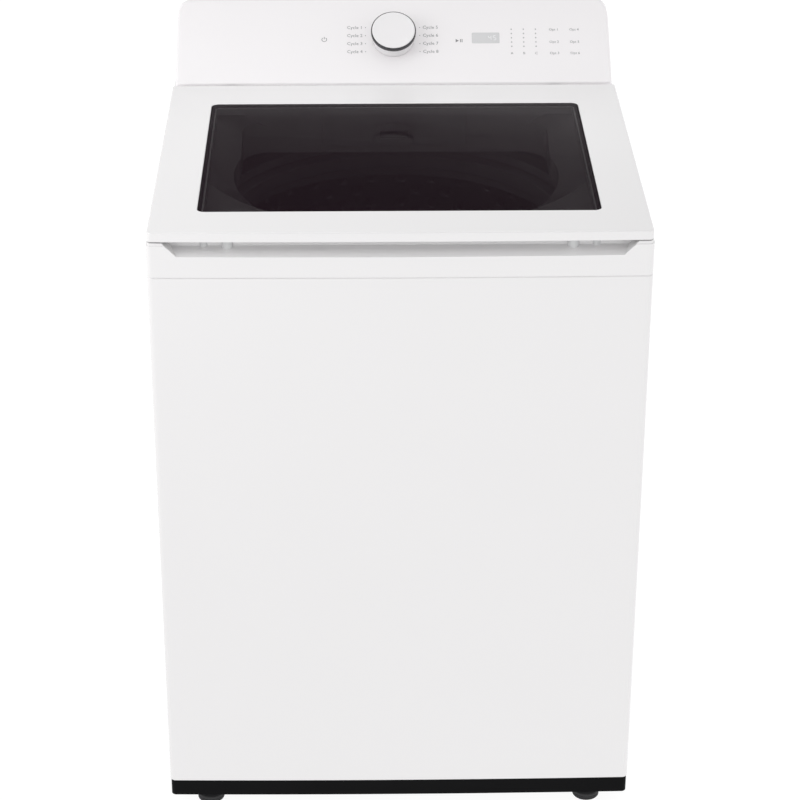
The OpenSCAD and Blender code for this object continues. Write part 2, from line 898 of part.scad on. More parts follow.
module sump_bellows() {
    folds = 6;
    depth = 4;
    wall = 2;
    pitch = (bellows_z1 - bellows_z0) / folds;
    outer = [for (i = [0:2 * folds]) [sump_r + depth * (i % 2), bellows_z0 + i * pitch / 2]];
    inner = [for (i = [2 * folds:-1:0]) [sump_r - wall + depth * (i % 2), bellows_z0 + i * pitch / 2]];
    color(rubber) translate([sump_place[0], sump_place[1], 0])
        rotate_extrude() polygon(concat(outer, inner));
}

module drain_hose() {
    side_x = pump_outlet_x + 30;
    rise_y = pan_y - 25;
    color(rubber) tube(rounded_path([
        [pump_outlet_x, sump_place[1], pump_z], [side_x, sump_place[1], pump_z],
        [side_x, 240, pump_z + 4], [drain_place[0], rise_y, pump_z + 30],
        [drain_place[0], rise_y, drain_place[1]], [drain_place[0], pan_y - 8, drain_place[1]]
    ], 16), hose_r, [1, 1, -0.6]);
}

module drain_outlet() {
    color(plastic_grey) translate([drain_place[0], 0, drain_place[1]]) difference() {
        union() {
            rod_y_axis(drain_r + 7, pan_y - 4, pan_y);
            rod_y_axis(drain_r, pan_y - cut, port_end_y);
            rod_y_axis(hose_r + 2, pan_y - 8, pan_y - 3);
        }
        rod_y_axis(hose_r - 3, pan_y - 9, port_end_y + cut);
        rod_y_axis(drain_r - 3, pan_y - 2, port_end_y + cut);
    }
}

module cord_gland() {
    color(black) translate([cord_place[0], 0, cord_place[1]]) difference() {
        union() {
            rod_y_axis(13, pan_y - 4, pan_y);
            rod_y_axis(8.8, pan_y - cut, pan_y + 3);
            rod_y_axis(12, pan_y + sheet_t, pan_y + 6);
        }
        rod_y_axis(5, pan_y - 5, pan_y + 7);
    }
}

// ---- Tub ----

module outer_tub() {
    reach = norm([rod_x, rod_y]);
    color(tub_grey) difference() {
        union() {
            ring(tub_r, tub_r - tub_wall, tub_z0, tub_z1);
            ring(tub_r, housing_tube_r + 0.2, tub_z0, tub_z0 + tub_floor_t);
            translate([sump_place[0], sump_place[1], bellows_z1])
                cylinder(r = sump_r, h = tub_z0 - bellows_z1 + 2);
            // Ears that the suspension carries
            for (sx = [-1, 1], sy = [-1, 1]) slab(ear_z, ear_z + ear_h) difference() {
                union() {
                    translate([sx * rod_x, sy * rod_y]) circle(r = 16);
                    rotate(atan2(sy * rod_y, sx * rod_x))
                        translate([tub_r - 20, -12]) square([reach - tub_r + 14, 24]);
                }
                circle(r = tub_r - 1, $fn = 180);
            }
        }
        at_rods() translate([0, 0, ear_z - cut]) cylinder(r = 9, h = ear_h + 2 * cut);
        translate([sump_place[0], sump_place[1], bellows_z1 - cut]) cylinder(r = sump_r - 3.5, h = 40);
    }
}

module tub_ring() {
    color(tub_grey) {
        ring(tub_r + 3, ring_inner_r, tub_z1, tub_z1 + 3);
        ring(ring_inner_r + 3, ring_inner_r, tub_z1 + 2, tub_z1 + 14);
        ring(tub_r + 3, tub_r + 0.3, tub_z1 - 12, tub_z1 + 1);
    }
}

module bearing_housing() {
    post_place_r = (stator_bore_r + yoke_r) / 2 - 0.5;
    color(cast_metal) {
        ring(flange_r, bearing_r, flange_z, tub_z0);
        ring(housing_tube_r, bearing_r, bearing_places[0] - 2, housing_top_z);
        // Posts that carry the stator
        for (turn = [45:90:315]) rotate(turn) translate([post_place_r, 0, stator_z1])
            cylinder(r = 5, h = flange_z - stator_z1 + cut);
        // Ears and pin of the clutch lever
        for (x = [-14, 10]) translate([x, lever_y - 6, lever_z - 6])
            cube([4, 12, flange_z - lever_z + 6 + cut]);
        translate([0, lever_y, lever_z]) rod_x_axis(lever_pin_r, -12, 12);
    }
}

module shaft_bearings() {
    color(steel) for (z = bearing_places) ring(bearing_r, spin_shaft_r, z, z + bearing_w);
}

module shaft_seal() {
    color(rubber) {
        ring(32, spin_shaft_r, housing_top_z, housing_top_z + 3);
        ring(spin_shaft_r + 4, spin_shaft_r, housing_top_z + 2, housing_top_z + 5.5);
    }
}

module poles(width, r0, r1, z0, z1) {
    for (i = [0:pole_count - 1]) rotate(360 * i / pole_count)
        translate([r0, -width / 2, z0]) cube([r1 - r0, width, z1 - z0]);
}

module stator() {
    color(zinc) {
        ring(yoke_r, stator_bore_r, stator_z0, stator_z1);
        poles(5, yoke_r - 1, pole_tip_r, stator_z0, stator_z1);
        poles(12, pole_tip_r - 4, pole_tip_r - 0.5, stator_z0, stator_z1);
    }
}

module stator_coils() {
    color(copper) difference() {
        poles(11, yoke_r + 6, pole_tip_r - 6, stator_z0 - 3, stator_z1 + 3);
        poles(5, yoke_r - 1, pole_tip_r, stator_z0, stator_z1);
    }
}

module clutch_actuator() {
    color(black) {
        translate([-22, 136, 190]) cube([44, 42, tub_z0 - 190]);
        translate([0, 142, 186]) cylinder(r = 4, h = 6);
    }
}

module clutch_lever() {
    color(inner_white) translate([0, lever_y, lever_z]) difference() {
        union() {
            rod_x_axis(6, -8, 8);
            translate([-8, -60, -5]) cube([16, 60, 6]);
            translate([-4, groove_r + 0.6 - lever_y, -5]) cube([8, lever_y - groove_r - 50, 6]);
            translate([-5, 0, 0]) cube([10, 32, 5]);
        }
        rod_x_axis(lever_pin_r + run_gap, -9, 9);
    }
}

module clutch_coupler() {
    color(zinc) {
        ring(groove_r, spin_shaft_r + run_gap, coupler_z0, coupler_z1);
        ring(coupler_r, groove_r - 1, coupler_z0, groove_z0);
        ring(coupler_r, groove_r - 1, groove_z1, coupler_z1);
    }
}

// ---- Suspension ----

module suspension_rods() {
    color(steel) at_rods() {
        translate([0, 0, rod_foot_z]) cylinder(r = rod_r, h = bracket_z + bracket_t - rod_foot_z + 2);
        translate([0, 0, rod_foot_z]) cylinder(r = 20, h = spring_z0 - rod_foot_z);
        translate([0, 0, bracket_z + bracket_t]) cylinder(r1 = 11, r2 = 8, h = 7);
    }
}

module suspension_springs() {
    wire_r = 2;
    coil_r = 14;
    turns = 7;
    steps = 14 * turns;
    rise = spring_z1 - spring_z0 - 2 * wire_r - 0.4;
    path = [
        for (i = [0:steps]) let (a = 360 * turns * i / steps)
            [coil_r * cos(a), coil_r * sin(a), spring_z0 + wire_r + 0.2 + rise * i / steps]
    ];
    color(steel) at_rods() tube(path, wire_r, [0, 0, 1], 6);
}

module suspension_cups() {
    color(plastic_grey) at_rods() difference() {
        union() {
            translate([0, 0, spring_z1]) cylinder(r = 20, h = ear_z - spring_z1);
            translate([0, 0, ear_z - cut]) cylinder(r = 8.9, h = ear_h);
        }
        translate([0, 0, spring_z1 - cut]) cylinder(r = cup_bore_r, h = 60);
    }
}

// ---- Basket and drive ----

module wash_basket() {
    color(steel) {
        ring(basket_r, basket_r - basket_wall, basket_z0, basket_z1);
        ring(basket_r, wash_shaft_r + 2, basket_z0, basket_z0 + 3);
    }
}

module balance_ring() {
    color(tub_grey) {
        ring(basket_r + 7, 246, basket_z1, basket_z1 + 22);
        ring(basket_r - basket_wall - 0.3, 250, basket_z1 - 14, basket_z1 + cut);
    }
}

module basket_hub() {
    color(cast_metal) difference() {
        union() {
            ring(45, spin_shaft_r - run_gap, 244.5, basket_z0);
            for (turn = [0:120:240]) rotate(turn) translate([20, -16, 248])
                cube([basket_r - 30, 32, basket_z0 - 248]);
        }
        translate([0, 0, 240]) cylinder(r = spin_shaft_r - run_gap, h = 30);
    }
}

module spin_shaft() {
    color(steel) ring(spin_shaft_r - run_gap, wash_shaft_r + run_gap, spin_shaft_z0, basket_z0);
}

module impeller() {
    color(inner_white) {
        rotate_extrude($fn = 180) polygon([
            [wash_shaft_r, impeller_z], [30, impeller_z], [30, impeller_z + 24], [80, impeller_z + 10],
            [225, impeller_z], [impeller_r, impeller_z + 4], [impeller_r, impeller_z + 9],
            [226, impeller_z + 5], [82, impeller_z + 15], [44, impeller_z + 34], [30, impeller_z + 42],
            [wash_shaft_r, impeller_z + 42]
        ]);
        for (turn = [0:60:300]) rotate([90, 0, turn]) translate([0, 0, -9]) linear_extrude(18)
            polygon([
                [60, impeller_z + 14], [220, impeller_z + 2], [218, impeller_z + 22],
                [160, impeller_z + 34], [90, impeller_z + 36], [60, impeller_z + 26]
            ]);
    }
}

module wash_shaft() {
    color(steel) translate([0, 0, rotor_z0 - 3])
        cylinder(r = wash_shaft_r, h = impeller_z + 40 - rotor_z0 + 3);
}

module rotor() {
    color(zinc) difference() {
        union() {
            ring(rotor_r, wash_shaft_r, rotor_z0, rotor_z0 + 4);
            ring(rotor_r, rotor_r - 6, rotor_z0, rotor_z1);
            ring(rotor_r - 5, pole_tip_r + 2.5, stator_z0, stator_z1);
            ring(28, wash_shaft_r, rotor_z0, 145);
        }
        for (turn = [0:45:315]) rotate(turn) slab(rotor_z0 - cut, rotor_z0 + 4 + cut)
            translate([92, 0]) round_rect(48, 16, 7);
    }
}

cabinet_wrapper();
rear_panel();
base_frame();
levelling_foot_front_left();
levelling_foot_front_right();
levelling_foot_rear_left();
levelling_foot_rear_right();
foot_lock_nuts();
corner_brackets();
cabinet_screws();
top_cover();
lid_frame();
lid_glass();
lid_inner_frame();
lid_hinge_pins();
lid_hinge_brackets();
lid_bumpers();
lid_strike();
lid_lock_housing();
lid_lock_bolt();
dispenser_housing();
dispenser_drawer();
siphon_caps();
console_panel();
console_rear_cover();
cycle_knob();
knob_trim_ring();
selector_encoder();
display_window();
display_board();
control_board();
inlet_valve_hot();
inlet_valve_cold();
inlet_hoses();
pump_body();
pump_impeller();
sump_bellows();
drain_hose();
drain_outlet();
cord_gland();
outer_tub();
tub_ring();
bearing_housing();
shaft_bearings();
shaft_seal();
stator();
stator_coils();
clutch_actuator();
clutch_lever();
clutch_coupler();
suspension_rods();
suspension_springs();
suspension_cups();
wash_basket();
balance_ring();
basket_hub();
spin_shaft();
impeller();
wash_shaft();
rotor();
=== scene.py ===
import json
import math

import bmesh
import bpy
from mathutils import Matrix, Vector


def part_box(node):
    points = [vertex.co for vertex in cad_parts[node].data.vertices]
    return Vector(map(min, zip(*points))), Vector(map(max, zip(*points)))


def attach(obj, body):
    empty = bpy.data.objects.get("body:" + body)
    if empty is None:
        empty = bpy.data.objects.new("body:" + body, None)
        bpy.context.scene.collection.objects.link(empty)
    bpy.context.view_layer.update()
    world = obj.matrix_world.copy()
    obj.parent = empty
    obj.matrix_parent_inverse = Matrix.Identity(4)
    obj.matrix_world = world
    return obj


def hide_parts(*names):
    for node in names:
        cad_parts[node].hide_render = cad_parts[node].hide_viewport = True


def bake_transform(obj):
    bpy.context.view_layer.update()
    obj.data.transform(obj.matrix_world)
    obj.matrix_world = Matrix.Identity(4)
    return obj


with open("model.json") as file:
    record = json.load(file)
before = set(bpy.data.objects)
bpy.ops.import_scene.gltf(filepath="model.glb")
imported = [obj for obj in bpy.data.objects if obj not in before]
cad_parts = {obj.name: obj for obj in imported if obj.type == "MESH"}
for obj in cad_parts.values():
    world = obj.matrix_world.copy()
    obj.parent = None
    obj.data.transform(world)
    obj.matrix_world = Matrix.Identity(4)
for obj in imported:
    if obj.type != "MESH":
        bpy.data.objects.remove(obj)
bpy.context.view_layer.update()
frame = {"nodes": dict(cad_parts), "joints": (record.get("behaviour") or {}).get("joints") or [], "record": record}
scene = bpy.context.scene
MM = 0.001


# ---------------------------------------------------------------- Mesh helpers

def make_object(name, part, sharp_deg=35):
    """A mesh object from (points, faces): normals outward, smooth, with edges over sharp_deg kept sharp."""
    verts, faces = part
    mesh = bpy.data.meshes.new(name)
    mesh.from_pydata([tuple(v) for v in verts], [], faces)
    bm = bmesh.new()
    bm.from_mesh(mesh)
    bmesh.ops.remove_doubles(bm, verts=bm.verts, dist=1e-6)
    bmesh.ops.recalc_face_normals(bm, faces=bm.faces)
    bm.to_mesh(mesh)
    bm.free()
    mesh.polygons.foreach_set("use_smooth", [True] * len(mesh.polygons))
    mesh.set_sharp_from_angle(angle=math.radians(sharp_deg))
    obj = bpy.data.objects.new(name, mesh)
    scene.collection.objects.link(obj)
    return obj


def loft(loops, closed=True, caps=True):
    """Quads that join equal loops in a row.

    closed joins each loop's two ends; caps close the first and last loops.
    """
    count = len(loops[0])
    verts = [p for loop in loops for p in loop]
    faces = []
    for i in range(len(loops) - 1):
        for k in range(count if closed else count - 1):
            n = (k + 1) % count
            faces.append((i * count + k, i * count + n, (i + 1) * count + n, (i + 1) * count + k))
    if caps:
        faces.append(tuple(range(count)))
        faces.append(tuple(range((len(loops) - 1) * count, len(loops) * count)))
    return verts, faces


def merged(*parts):
    """One (points, faces) from several."""
    verts, faces = [], []
    for part_verts, part_faces in parts:
        start = len(verts)
        verts += part_verts
        faces += [tuple(i + start for i in face) for face in part_faces]
    return verts, faces


def placed(part, matrix):
    verts, faces = part
    return [tuple(matrix @ Vector(v)) for v in verts], faces


def arc(cx, cy, r, start_deg, end_deg, steps):
    """Points on an arc, both ends included."""
    turns = [math.radians(start_deg + (end_deg - start_deg) * i / steps) for i in range(steps + 1)]
    return [(cx + r * math.cos(a), cy + r * math.sin(a)) for a in turns]


def lathe(profile, steps=96):
    """A closed turned shape about Z from (radius, height) points; a point at radius 0 becomes one vertex."""
    verts, faces, rows = [], [], []
    for r, z in profile:
        if r < 1e-7:
            rows.append([len(verts)] * steps)
            verts.append((0, 0, z))
        else:
            rows.append(range(len(verts), len(verts) + steps))
            turns = [2 * math.pi * k / steps for k in range(steps)]
            verts += [(r * math.cos(a), r * math.sin(a), z) for a in turns]
    for low, high in zip(rows, rows[1:] + rows[:1]):
        for k in range(steps):
            n = (k + 1) % steps
            face = tuple(dict.fromkeys((low[k], low[n], high[n], high[k])))
            if len(face) > 2:
                faces.append(face)
    return verts, faces


def rounded_rect(cx, cy, half_x, half_y, r, steps=8):
    """Points round a rectangle with round corners, anticlockwise from its lower right corner."""
    points = []
    for sx, sy, start in ((1, -1, -90), (1, 1, 0), (-1, 1, 90), (-1, -1, 180)):
        points += arc(cx + sx * (half_x - r), cy + sy * (half_y - r), r, start, start + 90, steps)
    return points


def soft_plate(cx, cy, half_x, half_y, corner_r, z0, z1, edge):
    """A flat plate with round corners and softened top and bottom edges."""
    loops = []
    for inset, z in ((edge, z0), (0.3 * edge, z0 + 0.3 * edge), (0, z0 + edge),
                     (0, z1 - edge), (0.3 * edge, z1 - 0.3 * edge), (edge, z1)):
        loop = rounded_rect(cx, cy, half_x - inset, half_y - inset, corner_r - inset)
        loops.append([(x, y, z) for x, y in loop])
    return loft(loops)


def tube(path, r, sides=10):
    """A round tube along a path of points, with its frame carried along so that it doesn't twist."""
    loops = []
    up = Vector((0, 0, 1))
    for i, p in enumerate(path):
        along = (path[min(i + 1, len(path) - 1)] - path[max(i - 1, 0)]).normalized()
        if abs(along.dot(up)) > 0.99:
            up = Vector((1, 0, 0))
        side = along.cross(up).normalized()
        up = side.cross(along)
        loops.append([
            tuple(p + side * (r * math.cos(2 * math.pi * k / sides))
                  + up * (r * math.sin(2 * math.pi * k / sides)))
            for k in range(sides)
        ])
    return loft(loops)


def finish_piece(obj, body, slot, *nodes, material=None):
    """Gives a piece its body and the material of its slot (or the material given), and hides the CAD nodes that it
    stands for.
    """
    obj.data.materials.clear()
    obj.data.materials.append(material or MATERIALS[slot])
    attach(obj, body)
    if nodes:
        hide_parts(*nodes)
    return obj


# ---------------------------------------------------------------- Materials

def new_material(name):
    mat = bpy.data.materials.new(name)
    mat.use_nodes = True
    tree = mat.node_tree
    return mat, tree.nodes, tree.links, tree.nodes["Principled BSDF"]


def noise(nodes, links, scale, detail=3.0, stretch=(1, 1, 1)):
    """A noise texture in the row frame; a small stretch factor draws it out along that axis."""
    coords = nodes.new("ShaderNodeTexCoord")
    mapping = nodes.new("ShaderNodeMapping")
    mapping.inputs["Scale"].default_value = stretch
    links.new(coords.outputs["Object"], mapping.inputs["Vector"])
    tex = nodes.new("ShaderNodeTexNoise")
    tex.inputs["Scale"].default_value = scale
    tex.inputs["Detail"].default_value = detail
    links.new(mapping.outputs["Vector"], tex.inputs["Vector"])
    return tex


def ramp(nodes, links, value, low, high, start=0.3, end=0.7):
    """A colour that goes from low to high as the value goes from start to end."""
    node = nodes.new("ShaderNodeValToRGB")
    node.color_ramp.elements[0].position = start
    node.color_ramp.elements[1].position = end
    node.color_ramp.elements[0].color = (*low, 1)
    node.color_ramp.elements[1].color = (*high, 1)
    links.new(value, node.inputs["Fac"])
    return node


def spread(nodes, links, value, low, high):
    """A number that goes from low to high as the value goes from 0.3 to 0.7."""
    node = nodes.new("ShaderNodeMapRange")
    node.inputs["From Min"].default_value = 0.3
    node.inputs["From Max"].default_value = 0.7
    node.inputs["To Min"].default_value = low
    node.inputs["To Max"].default_value = high
    links.new(value, node.inputs["Value"])
    return node


def relief(nodes, links, shader, height, strength, distance):
    node = nodes.new("ShaderNodeBump")
    node.inputs["Strength"].default_value = strength
    node.inputs["Distance"].default_value = distance
    links.new(height, node.inputs["Height"])
    links.new(node.outputs["Normal"], shader.inputs["Normal"])


def surface(name, color, shade, rough, grain, metallic=0.0, specular=0.5, coat=0.0, stretch=(1, 1, 1),
            patch=6.0):
    """A worked surface: colour and roughness drift in broad patches, with a fine grain in the bump.

    shade is how much darker the patches go; grain is (scale per metre, bump strength, height in metres).
    """
    mat, nodes, links, shader = new_material(name)
    broad = noise(nodes, links, patch, 4.0, stretch)
    tint = ramp(nodes, links, broad.outputs["Fac"], tuple(c * (1 - shade) for c in color), color)
    links.new(tint.outputs["Color"], shader.inputs["Base Color"])
    roughness = spread(nodes, links, broad.outputs["Fac"], rough, rough * 1.1)
    links.new(roughness.outputs["Result"], shader.inputs["Roughness"])
    fine = noise(nodes, links, grain[0], 2.0, stretch)
    relief(nodes, links, shader, fine.outputs["Fac"], grain[1], grain[2])
    shader.inputs["Metallic"].default_value = metallic
    shader.inputs["Specular IOR Level"].default_value = specular
    shader.inputs["Coat Weight"].default_value = coat
    return mat


def tinted_glass(name):
    """Smoke tinted tempered glass with a faint plum cast; each of its two faces lets two fifths through."""
    mat, nodes, links, shader = new_material(name)
    broad = noise(nodes, links, 3.0, 2.0)
    tint = ramp(nodes, links, broad.outputs["Fac"], (0.014, 0.007, 0.011), (0.016, 0.008, 0.0125))
    links.new(tint.outputs["Color"], shader.inputs["Base Color"])
    smear = noise(nodes, links, 14.0)
    roughness = spread(nodes, links, smear.outputs["Fac"], 0.02, 0.05)
    links.new(roughness.outputs["Result"], shader.inputs["Roughness"])
    shader.inputs["Alpha"].default_value = 0.60
    shader.inputs["IOR"].default_value = 1.04
    return mat


def spangle_steel(name):
    """Zinc plated sheet: crystal patches of slightly different greys."""
    mat, nodes, links, shader = new_material(name)
    coords = nodes.new("ShaderNodeTexCoord")
    cells = nodes.new("ShaderNodeTexVoronoi")
    cells.inputs["Scale"].default_value = 90.0
    links.new(coords.outputs["Object"], cells.inputs["Vector"])
    tint = ramp(nodes, links, cells.outputs["Color"], (0.48, 0.50, 0.52), (0.62, 0.64, 0.66), 0.1, 0.9)
    links.new(tint.outputs["Color"], shader.inputs["Base Color"])
    roughness = spread(nodes, links, cells.outputs["Color"], 0.30, 0.42)
    links.new(roughness.outputs["Result"], shader.inputs["Roughness"])
    fine = noise(nodes, links, 900.0)
    relief(nodes, links, shader, fine.outputs["Fac"], 0.05, 0.1 * MM)
    shader.inputs["Metallic"].default_value = 0.9
    return mat


def brushed_steel(name, color, rough):
    """Brushed metal: long fine scratches along Z in the colour, the roughness and the bump."""
    mat, nodes, links, shader = new_material(name)
    lines = noise(nodes, links, 1400.0, 4.0, (1, 1, 0.04))
    tint = ramp(nodes, links, lines.outputs["Fac"], tuple(c * 0.86 for c in color), color)
    links.new(tint.outputs["Color"], shader.inputs["Base Color"])
    roughness = spread(nodes, links, lines.outputs["Fac"], rough, rough * 1.5)
    links.new(roughness.outputs["Result"], shader.inputs["Roughness"])
    relief(nodes, links, shader, lines.outputs["Fac"], 0.10, 0.15 * MM)
    shader.inputs["Metallic"].default_value = 1.0
    return mat


def winding_copper(name):
    """Lacquered copper wire laid in fine turns."""
    mat, nodes, links, shader = new_material(name)
    coords = nodes.new("ShaderNodeTexCoord")
    wave = nodes.new("ShaderNodeTexWave")
    wave.bands_direction = "Z"
    wave.inputs["Scale"].default_value = 260.0
    wave.inputs["Distortion"].default_value = 0.6
    links.new(coords.outputs["Object"], wave.inputs["Vector"])
    tint = ramp(nodes, links, wave.outputs["Fac"], (0.30, 0.11, 0.04), (0.78, 0.38, 0.18), 0.0, 0.8)
    links.new(tint.outputs["Color"], shader.inputs["Base Color"])
    relief(nodes, links, shader, wave.outputs["Fac"], 0.5, 0.4 * MM)
    shader.inputs["Metallic"].default_value = 0.8
    shader.inputs["Roughness"].default_value = 0.32
    return mat


def board_green(name):
    """Green solder mask with paler traces under it."""
    mat, nodes, links, shader = new_material(name)
    coords = nodes.new("ShaderNodeTexCoord")
    bricks = nodes.new("ShaderNodeTexBrick")
    bricks.inputs["Scale"].default_value = 60.0
    bricks.inputs["Mortar Size"].default_value = 0.03
    bricks.inputs["Color1"].default_value = (0.012, 0.10, 0.045, 1)
    bricks.inputs["Color2"].default_value = (0.014, 0.12, 0.05, 1)
    bricks.inputs["Mortar"].default_value = (0.03, 0.20, 0.09, 1)
    links.new(coords.outputs["Object"], bricks.inputs["Vector"])
    links.new(bricks.outputs["Color"], shader.inputs["Base Color"])
    relief(nodes, links, shader, bricks.outputs["Fac"], 0.2, 0.05 * MM)
    shader.inputs["Roughness"].default_value = 0.4
    return mat


MATERIALS = {
    "white_enamel": surface("white_enamel", (0.845, 0.836, 0.84), 0.005, 0.17, (420.0, 0.05, 0.2 * MM),
                            specular=0.5, coat=0.3),
    "white_gloss": surface("white_gloss", (0.92, 0.90, 0.912), 0.005, 0.18, (700.0, 0.03, 0.1 * MM),
                           coat=0.1),
    "white_matte": surface("white_matte", (0.72, 0.725, 0.73), 0.02, 0.42, (1600.0, 0.12, 0.1 * MM)),
    "tinted_glass": tinted_glass("tinted_glass"),
    "black_plastic": surface("black_plastic", (0.006, 0.006, 0.0065), 0.2, 0.5, (2200.0, 0.25, 0.1 * MM),
                             specular=0.05),
    "galvanised_steel": spangle_steel("galvanised_steel"),
    "stainless_steel": brushed_steel("stainless_steel", (0.62, 0.63, 0.64), 0.28),
    "bright_steel": brushed_steel("bright_steel", (0.60, 0.61, 0.63), 0.2),
    "chrome_trim": surface("chrome_trim", (0.10, 0.10, 0.105), 0.1, 0.08, (900.0, 0.02, 0.1 * MM),
                           metallic=1.0),
    "tub_plastic": surface("tub_plastic", (0.56, 0.57, 0.58), 0.05, 0.45, (1300.0, 0.15, 0.1 * MM)),
    "cast_aluminium": surface("cast_aluminium", (0.52, 0.53, 0.55), 0.12, 0.42, (600.0, 0.4, 0.4 * MM),
                              metallic=0.9),
    "rubber": surface("rubber", (0.030, 0.030, 0.032), 0.25, 0.6, (1500.0, 0.3, 0.2 * MM)),
    "copper": winding_copper("copper"),
    "display_grey": surface("display_grey", (0.69, 0.69, 0.70), 0.03, 0.12, (300.0, 0.02, 0.1 * MM)),
    "circuit_board": board_green("circuit_board"),
}
KNOB_WHITE = surface("knob_white", (0.87, 0.857, 0.867), 0.005, 0.22, (900.0, 0.04, 0.1 * MM), coat=0.1)
PRINT_GREY = surface("print_grey", (0.25, 0.25, 0.26), 0.05, 0.4, (2000.0, 0.05, 0.05 * MM))
DIGIT_WHITE = surface("digit_white", (0.92, 0.93, 0.94), 0.02, 0.3, (2000.0, 0.05, 0.05 * MM))


# ---------------------------------------------------------------- Places taken from the frame

cabinet_lo, cabinet_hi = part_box("cabinet_wrapper")
_, lid_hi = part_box("lid_frame")
glass_lo, glass_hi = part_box("lid_glass")
console_lo, console_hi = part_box("console_panel")
joints = {j["name"]: j for j in frame["joints"]}
knob_joint = joints["knob_turn"]
lid_joint = joints["lid_hinge"]

CROWN = 3 * MM
CORNER_R = 8 * MM
SHEET = 1.2 * MM
LID_T = 13.5 * MM
FLAT_FRONT = cabinet_lo.y + CROWN
HINGE_Y, HINGE_Z = lid_joint["pos_m"][1:]
NOSE_R = lid_hi.z - HINGE_Z
FACE_OUT = Vector(knob_joint["axis"]).normalized()
SLOPE = math.atan2(-FACE_OUT.y, FACE_OUT.z)
FACE_UP = Vector((0, math.cos(SLOPE), math.sin(SLOPE)))

# Places on the console's face in millimetres: x, then the distance up the slope
KNOB_AT = (0, 79.5)
WINDOW_AT = (144.5, 82)
POWER_AT = (-108, 80)
START_AT = (101, 77)
FACE_ORIGIN = Vector(knob_joint["pos_m"]) - FACE_UP * KNOB_AT[1] * MM


def on_face(x, s, out=0.0):
    """Matrix that puts a shape on the console's face: x across and s up the slope, in millimetres."""
    place = FACE_ORIGIN + Vector((x * MM, 0, 0)) + FACE_UP * s * MM + FACE_OUT * out * MM
    turn = Matrix((Vector((1, 0, 0)), FACE_UP, FACE_OUT)).transposed()
    return Matrix.Translation(place) @ turn.to_4x4()


def plan_outline(half, y_back, r_back, inset=0.0, back_inset=None, crown_steps=40, corner_steps=8):
    """Cabinet-like plan, from its back left corner round the front to its back right corner.

    half is its half width, y_back its back edge; the front keeps the cabinet's crown and front corners.
    """
    back_inset = inset if back_inset is None else back_inset
    side = half - cabinet_hi.x
    r = max(CORNER_R + side - inset, 0.05 * MM)
    rb = max(r_back - inset, 0.05 * MM)
    x0 = half - inset
    y0 = FLAT_FRONT - side + inset
    front_half = x0 - r
    front = [(-front_half * (1 - 2 * i / crown_steps),
              y0 - CROWN * (1 - (1 - 2 * i / crown_steps) ** 2)) for i in range(1, crown_steps)]
    yb = y_back - back_inset
    return (arc(-x0 + rb, yb - rb, rb, 90, 180, corner_steps)
            + arc(-x0 + r, y0 + r, r, 180, 270, corner_steps)
            + front
            + arc(x0 - r, y0 + r, r, -90, 0, corner_steps)
            + arc(x0 - rb, yb - rb, rb, 0, 90, corner_steps))


def rounding(r, steps=4):
    """(inset, drop) pairs round an upper outer edge, from the wall to the flat."""
    turns = [math.pi / 2 * i / steps for i in range(steps + 1)]
    return [(r * (1 - math.cos(a)), r * (1 - math.sin(a))) for a in turns]


# ---------------------------------------------------------------- Cabinet

def cabinet_shell():
    """The wrapper: one sheet folded round three sides, with rolled edges and two flanges at the back."""
    flange_x = cabinet_hi.x - 28 * MM
    roll = 1.8 * MM

    def section(inset, z):
        back = cabinet_hi.y - inset
        walk = plan_outline(cabinet_hi.x, cabinet_hi.y, CORNER_R, inset)
        return [(x, y, z) for x, y in [(-flange_x, back), *walk, (flange_x, back)]]

    outer = [(inset, cabinet_lo.z + drop) for inset, drop in reversed(rounding(roll))]
    outer += [(0, cabinet_lo.z + share * (cabinet_hi.z - cabinet_lo.z)) for share in (0.25, 0.5, 0.75)]
    outer += [(inset, cabinet_hi.z - drop) for inset, drop in rounding(roll)]
    inner = [(roll + SHEET, cabinet_hi.z), (SHEET, cabinet_hi.z - 2 * roll),
             (SHEET, cabinet_lo.z + 2 * roll), (roll + SHEET, cabinet_lo.z)]
    loops = [section(inset, z) for inset, z in outer + inner]
    verts, faces = loft(loops + loops[:1], closed=False, caps=False)
    count = len(loops[0])
    faces.append(tuple(i * count for i in range(len(loops))))
    faces.append(tuple(i * count + count - 1 for i in range(len(loops))))
    obj = make_object("cabinet_shell", (verts, faces))
    return finish_piece(obj, "cabinet", "white_enamel", "cabinet_wrapper")


# ---------------------------------------------------------------- Lid

def window_outline(inset, crown_steps=40, corner_steps=8):
    """The lid's window, point for point in step with plan_outline."""
    cx, cy = (glass_lo.x + glass_hi.x) / 2, (glass_lo.y + glass_hi.y) / 2
    hx, hy = (glass_hi.x - glass_lo.x) / 2 - inset, (glass_hi.y - glass_lo.y) / 2 - inset
    r = 10 * MM - inset
    front = [(cx + (hx - r) * (2 * i / crown_steps - 1), cy - hy) for i in range(1, crown_steps)]
    return (arc(cx - hx + r, cy + hy - r, r, 90, 180, corner_steps)
            + arc(cx - hx + r, cy - hy + r, r, 180, 270, corner_steps)
            + front
            + arc(cx + hx - r, cy - hy + r, r, -90, 0, corner_steps)
            + arc(cx + hx - r, cy + hy - r, r, 0, 90, corner_steps))


